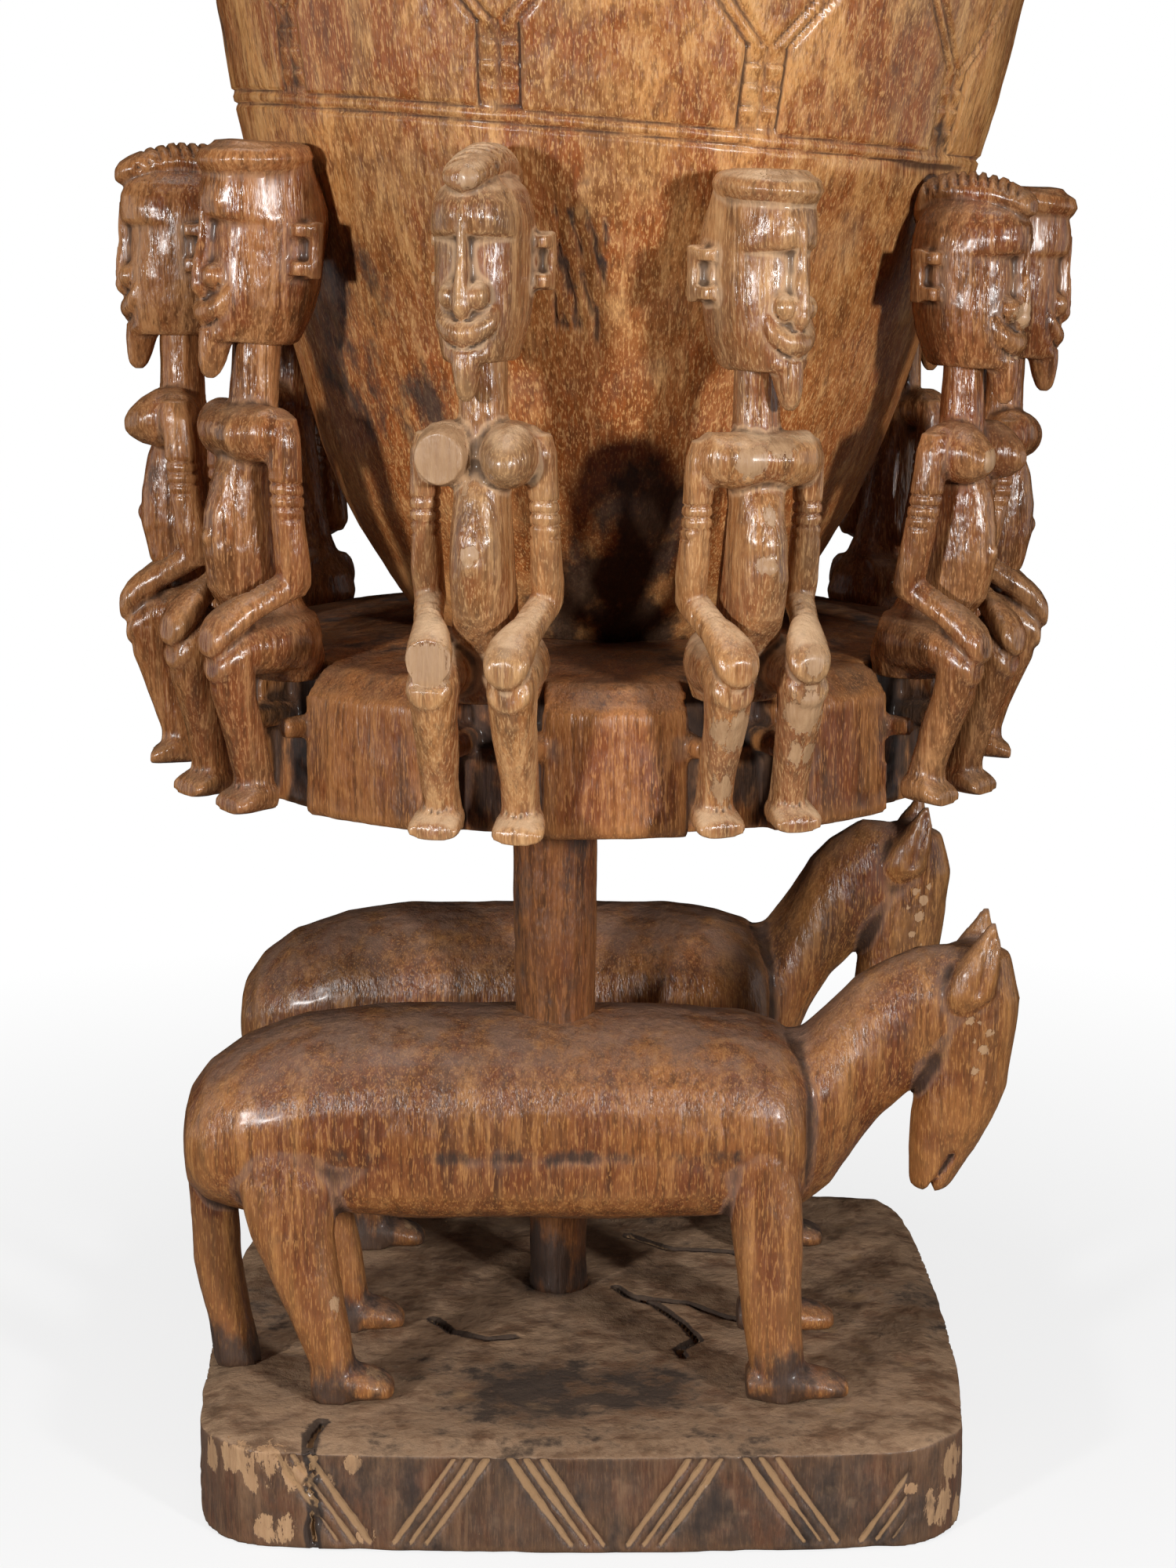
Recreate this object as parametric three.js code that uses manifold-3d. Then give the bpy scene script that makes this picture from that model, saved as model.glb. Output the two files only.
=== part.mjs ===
// Lidded ritual vessel carved in hardwood: a rounded square plinth, two horses side by side, posts
// that carry a thick disc, ten figures seated round the disc's edge, and a large bowl with a lid.
// Millimetres. +Z is up, +X is the way the horses face, and z = 0 is the ground.

import * as THREE from "three";
import { mergeVertices } from "three/addons/utils/BufferGeometryUtils.js";
import Module from "manifold-3d";

const wasm = await Module();
wasm.setup();

// Air left where two carved members seat on each other, and how far a trimming block reaches.
const seatGap = 0.3;
const farOut = 400;

// Plinth: a rounded square with swelling sides. The centre post stands behind its middle.
const plinthWidth = 294;
const plinthDepth = 294;
const plinthThickness = 39.5;
const plinthSwell = 6;
const plinthCorner = 30;
const plinthEdge = 4;
const plinthForward = 24;

// Posts: one stands on the plinth and one on each horse's back, and all three carry the disc.
const centrePostRadius = 12.8;
const saddlePostRadius = 16.2;
const postX = -10;
const tenonRadius = 8;
const tenonLength = 12;

// Horses: one horse's sizes. Lengths run from the post's line, heights from the hooves.
const horseSpacing = 168;
const horseLegHeight = 64;
const horseBarrelHeight = 78;
const horseBarrelWidth = 84;
const horseChestReach = 84;
const horseRumpReach = 150;
const horseLegSpread = 35;
const horseHeadLength = 94;
const horseHeadWidth = 27;
const horseHoofLength = 40;
const horseMouthSlit = 1.6;
const horsePollReach = 148;
const horsePollHeight = 166;
const rearHorseShift = 3;
const rearPollBack = 9.5;
const rearPollLift = 12;

// Disc: its wall, its chamfer, and the notches behind the figures' legs.
const discUnderside = 260;
const discRadius = 147;
const discX = 5;
const discWall = 45.5;
const discChamfer = 9;
const discRise = 5.5;
const notchWidth = 47;
const notchDepth = 9;
const notchStep = 6;
const notchLedge = 30;
const calfRestSize = 9;
const discSides = 40;

// Each horse's own place and poll: the rear one carries its head higher and further back.
const horses = [
  { name: "horse_front", shift: 0, pollReach: horsePollReach, pollHeight: horsePollHeight },
  {
    name: "horse_rear",
    shift: rearHorseShift,
    pollReach: horsePollReach - rearPollBack,
    pollHeight: horsePollHeight + rearPollLift,
  },
];

// Bowl: outer radii from the foot to the rim, and the wall between outside and hollow.
const bowlFootRadius = 88;
const bowlWaistRadius = 81;
const bowlBellyRadius = 117;
const bowlRimRadius = 161.5;
const bowlHeight = 280;
const bowlWall = 12;
const bowlFloor = 30;
const bowlLean = 2.4;
const bowlX = 3.5;
const bowlSides = 36;

// Lid: a low dome whose spigot drops into the mouth, with a small standing horse on its top.
const lidRise = 52;
const lidRim = 9;
const lidOverhang = 3;
const lidWall = 11;
const lidSpigot = 10;
const lidClearance = 1.2;
const lidSeatRadius = 70;
const lidHorseScale = 0.5;

// Figures: heights are from the seat, and reaches are outwards from it.
const seatInset = 4;
const soleDrop = 51;
const kneeReach = 36;
const legSpread = 14;
const calfSetBack = 17;
const hipWidth = 37;
const waistWidth = 19;
const shoulderHeight = 84;
const shoulderWidth = 47;
const neckReach = 19.5;
const neckRadius = 8.6;
const chinHeight = 111;
const headHeight = 71;
const headWidth = 34.5;
const headDepth = 44;

// Where each figure sits, turns its head and leans, in degrees, and its size and setting in.
const figures = [
  { azimuth: -14, female: true, turn: -9, size: 1, inset: 0, lean: 0.5 },
  { azimuth: 19.7, female: false, turn: 20, size: 0.97, inset: 0, lean: 0.4 },
  { azimuth: 54, female: true, turn: 4, size: 0.955, inset: 1, lean: 2 },
  { azimuth: 90, female: false, turn: 0, size: 0.945, inset: 6, lean: 3 },
  { azimuth: 126, female: true, turn: 0, size: 0.95, inset: 4, lean: 1.5 },
  { azimuth: 162, female: false, turn: 0, size: 0.97, inset: 2, lean: 1.5 },
  { azimuth: 198, female: true, turn: 0, size: 0.98, inset: 0, lean: 1.5 },
  { azimuth: 234, female: false, turn: 0, size: 0.99, inset: 0, lean: 1.5 },
  { azimuth: 270, female: true, turn: 0, size: 1.01, inset: 0, lean: 0.5 },
  { azimuth: 307, female: false, turn: -9, size: 1.02, inset: 0, lean: 4 },
];

// Levels and places that follow from the sizes above.
const plinthTop = plinthThickness;
const horseBack = horseLegHeight + horseBarrelHeight;
const discShoulder = discUnderside + discWall + discChamfer;
const discTop = discShoulder + discRise;
const degrees = Math.PI / 180;
const sideways = [1, 0, 0];

// Carved hardwood of one tree, paler on the figures and darker on the smoked base.
const wood = new THREE.MeshStandardMaterial({ color: 0x7a4a28, roughness: 0.45, metalness: 0 });
const paleWood = new THREE.MeshStandardMaterial({ color: 0x8f5f38, roughness: 0.45, metalness: 0 });
const darkWood = new THREE.MeshStandardMaterial({ color: 0x4f3120, roughness: 0.6, metalness: 0 });

// Solids, and the tools that join and cut them.

function solid(geometry) {
  const bare = geometry.clone();
  bare.deleteAttribute("normal");
  bare.deleteAttribute("uv");
  const merged = mergeVertices(bare, 0.001);
  const vertProperties = new Float32Array(merged.attributes.position.array);
  const triVerts = new Uint32Array(merged.index.array);
  return new wasm.Manifold(new wasm.Mesh({ numProp: 3, vertProperties, triVerts }));
}

function join(geometries) {
  return geometries.map(solid).reduce((whole, piece) => whole.add(piece));
}

function cut(whole, geometries) {
  return geometries.map(solid).reduce((rest, piece) => rest.subtract(piece), whole);
}

function geometryOf(manifold) {
  const { vertProperties, triVerts } = manifold.getMesh();
  const geometry = new THREE.BufferGeometry();
  geometry.setAttribute("position", new THREE.Float32BufferAttribute(vertProperties, 3));
  geometry.setIndex(new THREE.Uint32BufferAttribute(triVerts, 1));
  return geometry;
}

function piece(name, geometry, material) {
  const mesh = new THREE.Mesh(geometry, material);
  mesh.name = name;
  return mesh;
}

// A closed limb along a smooth path. Each station is [x, y, z, half width, half depth]: the width
// lies along the side direction, and the depth is square to it and to the path.
function limb(stations, sides = 8, side = [0, 1, 0], steps = stations.length - 1) {
  const path = new THREE.CatmullRomCurve3(stations.map(([x, y, z]) => new THREE.Vector3(x, y, z)));
  const geometry = new THREE.CylinderGeometry(1, 1, 1, sides, steps);
  const position = geometry.attributes.position;
  for (let i = 0; i < position.count; i++) {
    const along = position.getY(i) + 0.5;
    const place = along * (stations.length - 1);
    const before = Math.min(Math.floor(place), stations.length - 2);
    const [, , , width, depth] = mix(stations[before], stations[before + 1], place - before);
    const tangent = path.getTangent(along);
    const outward = new THREE.Vector3(...side).cross(tangent).normalize();
    const across = new THREE.Vector3().crossVectors(tangent, outward);
    const point = path.getPoint(along);
    point.addScaledVector(across, position.getX(i) * width);
    point.addScaledVector(outward, position.getZ(i) * depth);
    position.setXYZ(i, point.x, point.y, point.z);
  }
  return geometry;
}

function mix(from, to, share) {
  return from.map((value, i) => THREE.MathUtils.lerp(value, to[i], share));
}

function mirrored(stations) {
  return stations.map(([x, y, z, width, depth]) => [-x, y, z, width, depth]);
}

function ball([x, y, z], [halfX, halfY, halfZ], around = 8, rows = 5) {
  const sphere = new THREE.SphereGeometry(1, around, rows).rotateX(Math.PI / 2);
  return sphere.scale(halfX, halfY, halfZ).translate(x, y, z);
}

function block([x, y, z], [sizeX, sizeY, sizeZ]) {
  return new THREE.BoxGeometry(sizeX, sizeY, sizeZ).translate(x, y, z);
}

function revolve(profile, segments) {
  const points = profile.map(([radius, height]) => new THREE.Vector2(radius, height));
  return new THREE.LatheGeometry(points, segments).rotateX(Math.PI / 2);
}

function rod(radius, bottom, top, topRadius = radius, sides = 12) {
  const cylinder = new THREE.CylinderGeometry(topRadius, radius, top - bottom, sides);
  return cylinder.rotateX(Math.PI / 2).translate(0, 0, (bottom + top) / 2);
}

function below(height) {
  return block([0, 0, height - farOut / 2], [2 * farOut, 2 * farOut, farOut]);
}

// Plinth

function swellingSquare(width, depth, swell, corner) {
  const halfX = width / 2 - swell;
  const halfY = depth / 2 - swell;
  const lean = (2 * swell * corner) / (halfY - corner);
  const shape = new THREE.Shape().moveTo(halfX, corner - halfY);
  shape.quadraticCurveTo(halfX + 2 * swell, 0, halfX, halfY - corner);
  shape.quadraticCurveTo(halfX - lean, halfY - lean, halfX - corner, halfY);
  shape.quadraticCurveTo(0, halfY + 2 * swell, corner - halfX, halfY);
  shape.quadraticCurveTo(lean - halfX, halfY - lean, -halfX, halfY - corner);
  shape.quadraticCurveTo(-halfX - 2 * swell, 0, -halfX, corner - halfY);
  shape.quadraticCurveTo(lean - halfX, lean - halfY, corner - halfX, -halfY);
  shape.quadraticCurveTo(0, -halfY - 2 * swell, halfX - corner, -halfY);
  shape.quadraticCurveTo(halfX - lean, lean - halfY, halfX, corner - halfY);
  return shape;
}

function plinth() {
  const outline = swellingSquare(
    plinthWidth - 2 * plinthEdge,
    plinthDepth - 2 * plinthEdge,
    plinthSwell,
    plinthCorner,
  );
  const slab = new THREE.ExtrudeGeometry(outline, {
    depth: plinthThickness - 2 * plinthEdge,
    bevelThickness: plinthEdge,
    bevelSize: plinthEdge,
    bevelSegments: 1,
    curveSegments: 4,
  });
  slab.translate(0, -plinthForward, plinthEdge);
  const mortise = rod(tenonRadius + seatGap, plinthTop - tenonLength - seatGap, plinthTop + farOut);
  return piece("plinth", geometryOf(cut(solid(slab), [mortise.translate(postX, 0, 0)])), darkWood);
}

// Horses. A horse stands on z = 0 and looks along +X, with y = 0 through its middle.

function horseBarrel() {
  const halfWidth = horseBarrelWidth / 2;
  const halfHeight = horseBarrelHeight / 2;
  const middle = horseLegHeight + halfHeight;
  return limb([
    [-horseRumpReach, 0, middle - 8, 0.4 * halfWidth, 0.26 * halfHeight],
    [10 - horseRumpReach, 0, middle - 9, 0.74 * halfWidth, 0.58 * halfHeight],
    [34 - horseRumpReach, 0, middle - 4, 0.94 * halfWidth, 0.86 * halfHeight],
    [66 - horseRumpReach, 0, middle, halfWidth, halfHeight],
    [horseChestReach - 30, 0, middle - 1, halfWidth, 0.98 * halfHeight],
    [horseChestReach - 8, 0, middle - 7, 0.86 * halfWidth, 0.84 * halfHeight],
    [horseChestReach, 0, middle - 12, 0.42 * halfWidth, 0.5 * halfHeight],
  ], 10);
}

function horseNeck({ pollReach, pollHeight }) {
  const rise = pollHeight - horseBack;
  const halfWidth = horseHeadWidth / 2;
  return limb([
    [horseChestReach - 20, 0, horseBack - 42, 2.2 * halfWidth, 30],
    [pollReach - 56, 0, horseBack - 50 + 0.6 * rise, 1.75 * halfWidth, 28],
    [pollReach - 32, 0, horseBack - 27 + 0.8 * rise, halfWidth, 21],
    [pollReach - 12, 0, horseBack - 19 + rise, halfWidth, 19],
    [pollReach, 0, horseBack - 21 + rise, 0.8 * halfWidth, 14],
  ], 8);
}

function horseHead({ pollReach, pollHeight }) {
  const halfWidth = horseHeadWidth / 2;
  const level = (share) => pollHeight - share * horseHeadLength;
  return limb([
    [pollReach, 0, level(0), 0.7 * halfWidth, 12],
    [pollReach + 2, 0, level(0.16), halfWidth, 16.5],
    [pollReach, 0, level(0.46), halfWidth, 17.5],
    [pollReach - 6, 0, level(0.74), 0.8 * halfWidth, 14.5],
    [pollReach - 15, 0, level(0.97), 0.55 * halfWidth, 8],
    [pollReach - 16, 0, level(1), 0.45 * halfWidth, 6.5],
  ], 8);
}

function horseEar({ pollReach, pollHeight }, side) {
  return limb([
    [pollReach + 3, 7 * side, pollHeight - 5, 4.5, 7],
    [pollReach + 5, 9 * side, pollHeight + 13, 0.8, 1],
  ], 4);
}

function horseMouth({ pollReach, pollHeight }) {
  const slit = new THREE.BoxGeometry(horseMouthSlit, 2 * horseHeadWidth, 0.4 * horseHeadLength);
  return slit.rotateY(28 * degrees).translate(pollReach - 2, 0, pollHeight - 0.85 * horseHeadLength);
}

// A leg tapers to its ankle and turns forwards into its hoof.
function horseLeg(x, y, top, ankle) {
  return limb([
    [x, y, horseLegHeight + 20, 12, top + 2],
    [x + 1, y, 0.85 * horseLegHeight, 13, top],
    [x + 3, y, 14, 11.5, ankle],
    [x + 0.3 * horseHoofLength, y, 4, 13.5, 10],
    [x + 0.8 * horseHoofLength, y, 1, 9, 4],
  ], 6);
}

function horseTail() {
  const x = 11 - horseRumpReach;
  return limb([
    [x - 1, 0, horseLegHeight + 34, 7, 7],
    [x - 1, 0, 0.8 * horseLegHeight, 9, 8],
    [x + 3, 0, -2, 9.5, 10],
  ], 6);
}

function horse(poll) {
  const frontLeg = horseChestReach - 16;
  const rearLeg = 47 - horseRumpReach;
  const body = join([
    horseBarrel(),
    horseNeck(poll),
    horseHead(poll),
    horseTail(),
    ...[-1, 1].flatMap((side) => [
      horseEar(poll, side),
      horseLeg(frontLeg, side * horseLegSpread, 13.5, 10.5),
      horseLeg(rearLeg, side * horseLegSpread, 17.5, 9),
    ]),
  ]);
  return cut(body, [horseMouth(poll), below(0)]);
}

// A horse under the disc has a mortise in its back for the post that stands on it.
function standingHorse(poll, y) {
  const mortise = rod(tenonRadius + seatGap, horseBack - tenonLength - seatGap, horseBack + farOut);
  const body = cut(horse(poll), [mortise.translate(postX - poll.shift, 0, 0)]);
  const mesh = piece(poll.name, geometryOf(body), wood);
  mesh.position.set(poll.shift, y, plinthTop + seatGap);
  return mesh;
}

// Posts. Each has a tenon at both ends, and its shoulders seat on what it joins.

function centrePost() {
  const low = plinthTop + seatGap;
  const high = discUnderside - seatGap;
  const post = join([
    rod(centrePostRadius, low, high, centrePostRadius + 2),
    rod(tenonRadius, low - tenonLength, high + tenonLength),
  ]);
  const mesh = piece("centre_post", geometryOf(post), darkWood);
  mesh.position.x = postX;
  return mesh;
}

function saddlePost(name, y, shift) {
  const back = plinthTop + seatGap + horseBack;
  const high = discUnderside - seatGap;
  const shaft = rod(saddlePostRadius - 1, back - 20, high, saddlePostRadius + 1).translate(postX, 0, 0);
  const raisedBarrel = horseBarrel().translate(shift, 0, plinthTop + 2 * seatGap);
  const tenon = rod(tenonRadius, back - tenonLength, high + tenonLength).translate(postX, 0, 0);
  const post = cut(solid(shaft), [raisedBarrel]).add(solid(tenon));
  const mesh = piece(name, geometryOf(post), wood);
  mesh.position.y = y;
  return mesh;
}

// Disc

// The disc's section grown by an allowance, so that the same form can cut what sits on it.
function discBody(grown) {
  return revolve([
    [0, discUnderside - grown],
    [discRadius + grown, discUnderside - grown],
    [discRadius + grown, discUnderside + discWall + grown / 2],
    [discRadius - discChamfer + grown / 2, discShoulder + grown],
    [bowlFootRadius + 2, discTop + grown],
    [0, discTop + grown],
  ], discSides).translate(discX, 0, 0);
}

// The recess behind one figure's legs: shallow at the bottom and deeper above a ledge.
function notch(azimuth, shrunk) {
  const reach = 60;
  const lower = discRadius - notchDepth + shrunk;
  const upper = lower - notchStep;
  const width = notchWidth - 2 * shrunk;
  const ledge = discUnderside + notchLedge + shrunk;
  return [
    block([0, -lower - reach / 2, discUnderside], [width, reach, farOut]),
    block([0, -upper - reach / 2, ledge + farOut / 2], [0.86 * width, reach, farOut]),
  ].map((recess) => recess.rotateZ(azimuth * degrees).translate(discX, 0, 0));
}

// The two stubs of wood left between a recess and the calves in front of it.
function calfRests({ azimuth, size, inset }) {
  const inner = discRadius - notchDepth - notchStep - 1;
  const outer = discRadius - seatInset - inset + size * (kneeReach - calfSetBack) - seatGap;
  const level = discShoulder - 0.42 * size * soleDrop;
  return [-1, 1].map((side) => {
    const stub = block([side * size * legSpread, -(inner + outer) / 2, level], [
      calfRestSize,
      outer - inner,
      calfRestSize,
    ]);
    return stub.rotateZ(azimuth * degrees).translate(discX, 0, 0);
  });
}

function disc() {
  const hole = () => rod(tenonRadius + seatGap, -farOut, discUnderside + tenonLength + seatGap);
  const holes = [0, -horseSpacing / 2, horseSpacing / 2].map((y) => hole().translate(postX, y, 0));
  const recesses = figures.flatMap(({ azimuth }) => notch(azimuth, 0));
  const ring = cut(solid(discBody(0)), [...holes, ...recesses]);
  const body = ring.add(join(figures.flatMap(calfRests)));
  return piece("figure_disc", geometryOf(body), wood);
}

// Bowl. Its outside is one smooth curve from foot to rim, turned round an axis that leans.

function bowlOutside(grown) {
  const curve = new THREE.SplineCurve([
    [bowlFootRadius, 0],
    [bowlWaistRadius + 1, 9],
    [bowlWaistRadius + 1, 20],
    [(bowlWaistRadius + bowlBellyRadius) / 2 + 2, 0.17 * bowlHeight],
    [bowlBellyRadius, 0.325 * bowlHeight],
    [0.37 * bowlBellyRadius + 0.63 * bowlRimRadius, 0.69 * bowlHeight],
    [bowlRimRadius, bowlHeight],
  ].map(([radius, height]) => new THREE.Vector2(radius, height)));
  const side = curve.getPoints(7).map(({ x, y }) => [x + grown, y]);
  return [[0, -12], [bowlFootRadius + grown, -12], ...side, [0, bowlHeight]];
}

function bowlHollow() {
  const mouth = bowlRimRadius - bowlWall;
  const belly = bowlBellyRadius - bowlWall;
  const curve = new THREE.SplineCurve([
    [0.6 * belly, bowlFloor],
    [0.8 * belly, bowlFloor + 0.1 * bowlHeight],
    [belly, 0.36 * bowlHeight],
    [0.37 * belly + 0.63 * mouth, 0.69 * bowlHeight],
    [mouth, bowlHeight - lidSpigot - 4],
  ].map(([radius, height]) => new THREE.Vector2(radius, height)));
  const side = curve.getPoints(5).map(({ x, y }) => [x, y]);
  return [[0, bowlFloor], ...side, [mouth, bowlHeight + 20], [0, bowlHeight + 20]];
}

function leaning(geometry) {
  return geometry.rotateY(bowlLean * degrees).translate(bowlX, 0, discTop + seatGap);
}

function bowl() {
  const outside = solid(leaning(revolve(bowlOutside(0), bowlSides)));
  const body = cut(outside, [leaning(revolve(bowlHollow(), bowlSides)), below(discTop + seatGap)]);
  return piece("bowl", geometryOf(body), wood);
}

// Lid, built round the bowl's axis with z = 0 on the rim.

function lid() {
  const edge = bowlRimRadius + lidOverhang;
  const spigot = bowlRimRadius - bowlWall - lidClearance;
  const dome = new THREE.SplineCurve([
    new THREE.Vector2(edge - 5, lidRim),
    new THREE.Vector2(0.82 * edge, lidRim + 0.38 * (lidRise - lidRim)),
    new THREE.Vector2(0.62 * edge, lidRim + 0.8 * (lidRise - lidRim)),
    new THREE.Vector2(lidSeatRadius, lidRise),
  ]).getPoints(3).map(({ x, y }) => [x, y]);
  const inner = spigot - lidWall;
  const body = revolve([
    [0, lidRise],
    ...dome.reverse(),
    [edge, lidRim - 2],
    [edge, 0],
    [spigot, 0],
    [spigot, -lidSpigot],
    [inner, -lidSpigot],
    [inner, 2],
    [0.7 * inner, 0.55 * (lidRise - lidWall)],
    [0.4 * inner, lidRise - lidWall],
    [0, lidRise - lidWall],
  ].reverse(), bowlSides);
  return piece("lid", body, wood);
}

function lidHorse() {
  const middle = (horseRumpReach - horseChestReach) / 2;
  const small = geometryOf(horse(horses[0])).translate(middle, 0, 0);
  small.scale(lidHorseScale, lidHorseScale, lidHorseScale);
  const mesh = piece("lid_horse", small, wood);
  mesh.position.z = lidRise + seatGap;
  return mesh;
}

function lidGroup() {
  const group = new THREE.Group();
  const lean = bowlLean * degrees;
  const rise = bowlHeight + seatGap;
  group.add(lid(), lidHorse());
  group.rotation.y = lean;
  group.position.set(bowlX + rise * Math.sin(lean), 0, discTop + seatGap + rise * Math.cos(lean));
  return group;
}

// Figures. A figure sits on z = 0 at y = 0 and looks along +Y, with x = 0 through its middle.

function trunk() {
  const hip = hipWidth / 2;
  const waist = waistWidth / 2;
  return limb([
    [0, 2, -6, 0.8 * hip, 13],
    [0, 7, 12, hip, 16],
    [0, 18, 0.42 * shoulderHeight, 1.3 * waist, 14.5],
    [0, 20, 0.68 * shoulderHeight, waist, 11.5],
    [0, neckReach, shoulderHeight, 1.35 * waist, 8.5],
  ], 6, sideways);
}

// A man's shoulders and chest are one thick bar, and a woman's bar is thinner and has breasts.
function shoulders(female) {
  const reach = shoulderWidth / 2;
  const depth = female ? 8 : 11.5;
  const forward = female ? neckReach : neckReach + 4;
  return limb([
    [-reach, neckReach, shoulderHeight, 4.5, 0.5 * depth],
    [5 - reach, forward, shoulderHeight, 9, depth],
    [reach - 5, forward, shoulderHeight, 9, depth],
    [reach, neckReach, shoulderHeight, 4.5, 0.5 * depth],
  ], 6);
}

function neck() {
  const top = chinHeight + 0.24 * headHeight;
  return rod(neckRadius, shoulderHeight, top, neckRadius, 6).translate(0, neckReach, 0);
}

function breast() {
  return [
    [11.2, neckReach + 1, shoulderHeight, 10.5, 11.5],
    [11.6, neckReach + 11, shoulderHeight - 1, 10.5, 11],
    [12, neckReach + 20, shoulderHeight - 3, 2.5, 2.8],
  ];
}

function arm() {
  const x = shoulderWidth / 2 - 3;
  return [
    [x, neckReach, shoulderHeight, 5.2, 5.5],
    [x + 1.5, neckReach - 6, 0.44 * shoulderHeight, 5.6, 5.8],
    [legSpread + 2, kneeReach - 8, 22, 5, 4.8],
    [legSpread - 1, kneeReach + 4, 9, 6.4, 3.6],
  ];
}

// One limb from the hip over the knee and down to the toes.
function leg() {
  return [
    [9, 6, 11, 9, 9],
    [legSpread - 0.5, kneeReach - 4, 7, 8.8, 9.4],
    [legSpread, kneeReach - 5, 0.25 * -soleDrop, 7.6, 8],
    [legSpread, kneeReach - 13, 0.72 * -soleDrop, 6, 6],
    [legSpread, kneeReach - 14, 7.5 - soleDrop, 8, 7.5],
    [legSpread + 0.5, kneeReach - 6, 3.5 - soleDrop, 9, 3.5],
  ];
}

function skull() {
  const half = headWidth / 2;
  const deep = headDepth / 2;
  return limb([
    [0, 9.5, 0, 0.27 * half, 0.18 * deep],
    [0, 7, 0.16 * headHeight, 0.7 * half, 0.6 * deep],
    [0, 0, 0.45 * headHeight, half, 0.98 * deep],
    [0, -2, 0.78 * headHeight, 0.95 * half, 0.97 * deep],
    [0, -3, headHeight, 0.55 * half, 0.7 * deep],
  ], 7, sideways);
}

function ear(side) {
  const x = side * (headWidth / 2 + 2.5);
  const z = 0.57 * headHeight;
  const bracket = solid(block([x, -8, z], [9, 9, 15]));
  return cut(bracket, [block([x + 2 * side, -6, z], [9, 9, 6])]);
}

function face() {
  const front = headDepth / 2 - 1;
  return [
    limb([
      [0, front - 2, 0.64 * headHeight, 1.8, 1.5],
      [0, front + 1.5, 0.31 * headHeight, 4.2, 3],
    ], 4, sideways),
    block([0, front - 2, 0.17 * headHeight], [13, 7, 6.5]),
    limb([
      [0, 12, 4, 3.6, 3.4],
      [0, 12, -12, 1, 1],
    ], 4, sideways),
  ];
}

// A woman's comb of hair runs front to back, and a man's cap is a flat oval with a rolled rim.
function headdress(female) {
  if (female) {
    return ball([0, -1, headHeight - 2], [7.5, 0.48 * headDepth, 10], 6, 4);
  }
  const half = headWidth / 2;
  const deep = headDepth / 2;
  return limb([
    [0, -2, headHeight - 13, 0.9 * half, 0.95 * deep],
    [0, -1, headHeight + 2, half, deep + 1],
    [0, -1, headHeight + 4, 0.9 * half, deep - 1],
  ], 8, sideways);
}

function head(female, turn) {
  const place = (geometry) => geometry.rotateZ(turn * degrees).translate(0, neckReach, chinHeight);
  const ears = [-1, 1].map((side) => solid(place(geometryOf(ear(side)))));
  const rest = join([skull(), ...face(), headdress(female)].map(place));
  return ears.reduce((whole, side) => whole.add(side), rest);
}

function seatedFigure({ azimuth, female, turn, size, inset, lean }, index) {
  const pairs = female ? [arm(), leg(), breast()] : [arm(), leg()];
  const body = join([
    trunk(),
    shoulders(female),
    neck(),
    ...pairs.flatMap((stations) => [
      limb(stations, 5, sideways),
      limb(mirrored(stations), 5, sideways),
    ]),
  ]).add(head(female, turn));
  const seatRadius = discRadius - seatInset - inset;
  const mesh = piece(`figure_${index + 1}`, geometryOf(body).scale(size, size, size), paleWood);
  mesh.position.set(
    discX + seatRadius * Math.sin(azimuth * degrees),
    -seatRadius * Math.cos(azimuth * degrees),
    discShoulder + seatGap,
  );
  mesh.rotation.set(0, lean * degrees, (azimuth + 180) * degrees);
  mesh.updateMatrix();
  mesh.geometry = seated(mesh, azimuth);
  return mesh;
}

// The figure's own frame is kept: its neighbours are brought into it, and they cut it there.
function seated(mesh, azimuth) {
  const inward = mesh.matrix.clone().invert();
  const recess = notch(azimuth, seatGap);
  const discForm = cut(solid(discBody(seatGap)), recess);
  const discInside = solid(geometryOf(discForm).applyMatrix4(inward));
  const bowlForm = leaning(revolve(bowlOutside(seatGap), bowlSides)).applyMatrix4(inward);
  return geometryOf(solid(mesh.geometry).subtract(discInside).subtract(solid(bowlForm)));
}

const vessel = new THREE.Group();
vessel.add(
  plinth(),
  standingHorse(horses[0], -horseSpacing / 2),
  standingHorse(horses[1], horseSpacing / 2),
  centrePost(),
  saddlePost("saddle_post_front", -horseSpacing / 2, horses[0].shift),
  saddlePost("saddle_post_rear", horseSpacing / 2, horses[1].shift),
  disc(),
  ...figures.map(seatedFigure),
  bowl(),
  lidGroup(),
);

export default vessel;
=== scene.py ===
import math

import bpy
import numpy as np
from mathutils import Matrix, Vector


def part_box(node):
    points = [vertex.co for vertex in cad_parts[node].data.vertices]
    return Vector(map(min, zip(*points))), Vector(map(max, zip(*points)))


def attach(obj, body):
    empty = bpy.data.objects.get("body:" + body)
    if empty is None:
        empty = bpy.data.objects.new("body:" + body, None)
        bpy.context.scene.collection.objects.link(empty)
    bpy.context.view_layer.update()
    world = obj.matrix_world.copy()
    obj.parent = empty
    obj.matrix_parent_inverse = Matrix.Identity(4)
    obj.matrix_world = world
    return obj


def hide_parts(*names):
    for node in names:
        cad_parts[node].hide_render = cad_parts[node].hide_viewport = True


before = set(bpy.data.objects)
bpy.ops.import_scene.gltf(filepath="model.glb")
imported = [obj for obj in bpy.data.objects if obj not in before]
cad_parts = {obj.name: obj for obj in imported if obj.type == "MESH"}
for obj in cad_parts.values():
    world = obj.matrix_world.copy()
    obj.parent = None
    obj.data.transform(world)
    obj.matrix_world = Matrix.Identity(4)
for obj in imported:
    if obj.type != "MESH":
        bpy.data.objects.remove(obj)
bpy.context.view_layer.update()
bpy.ops.object.select_all(action="DESELECT")

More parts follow.
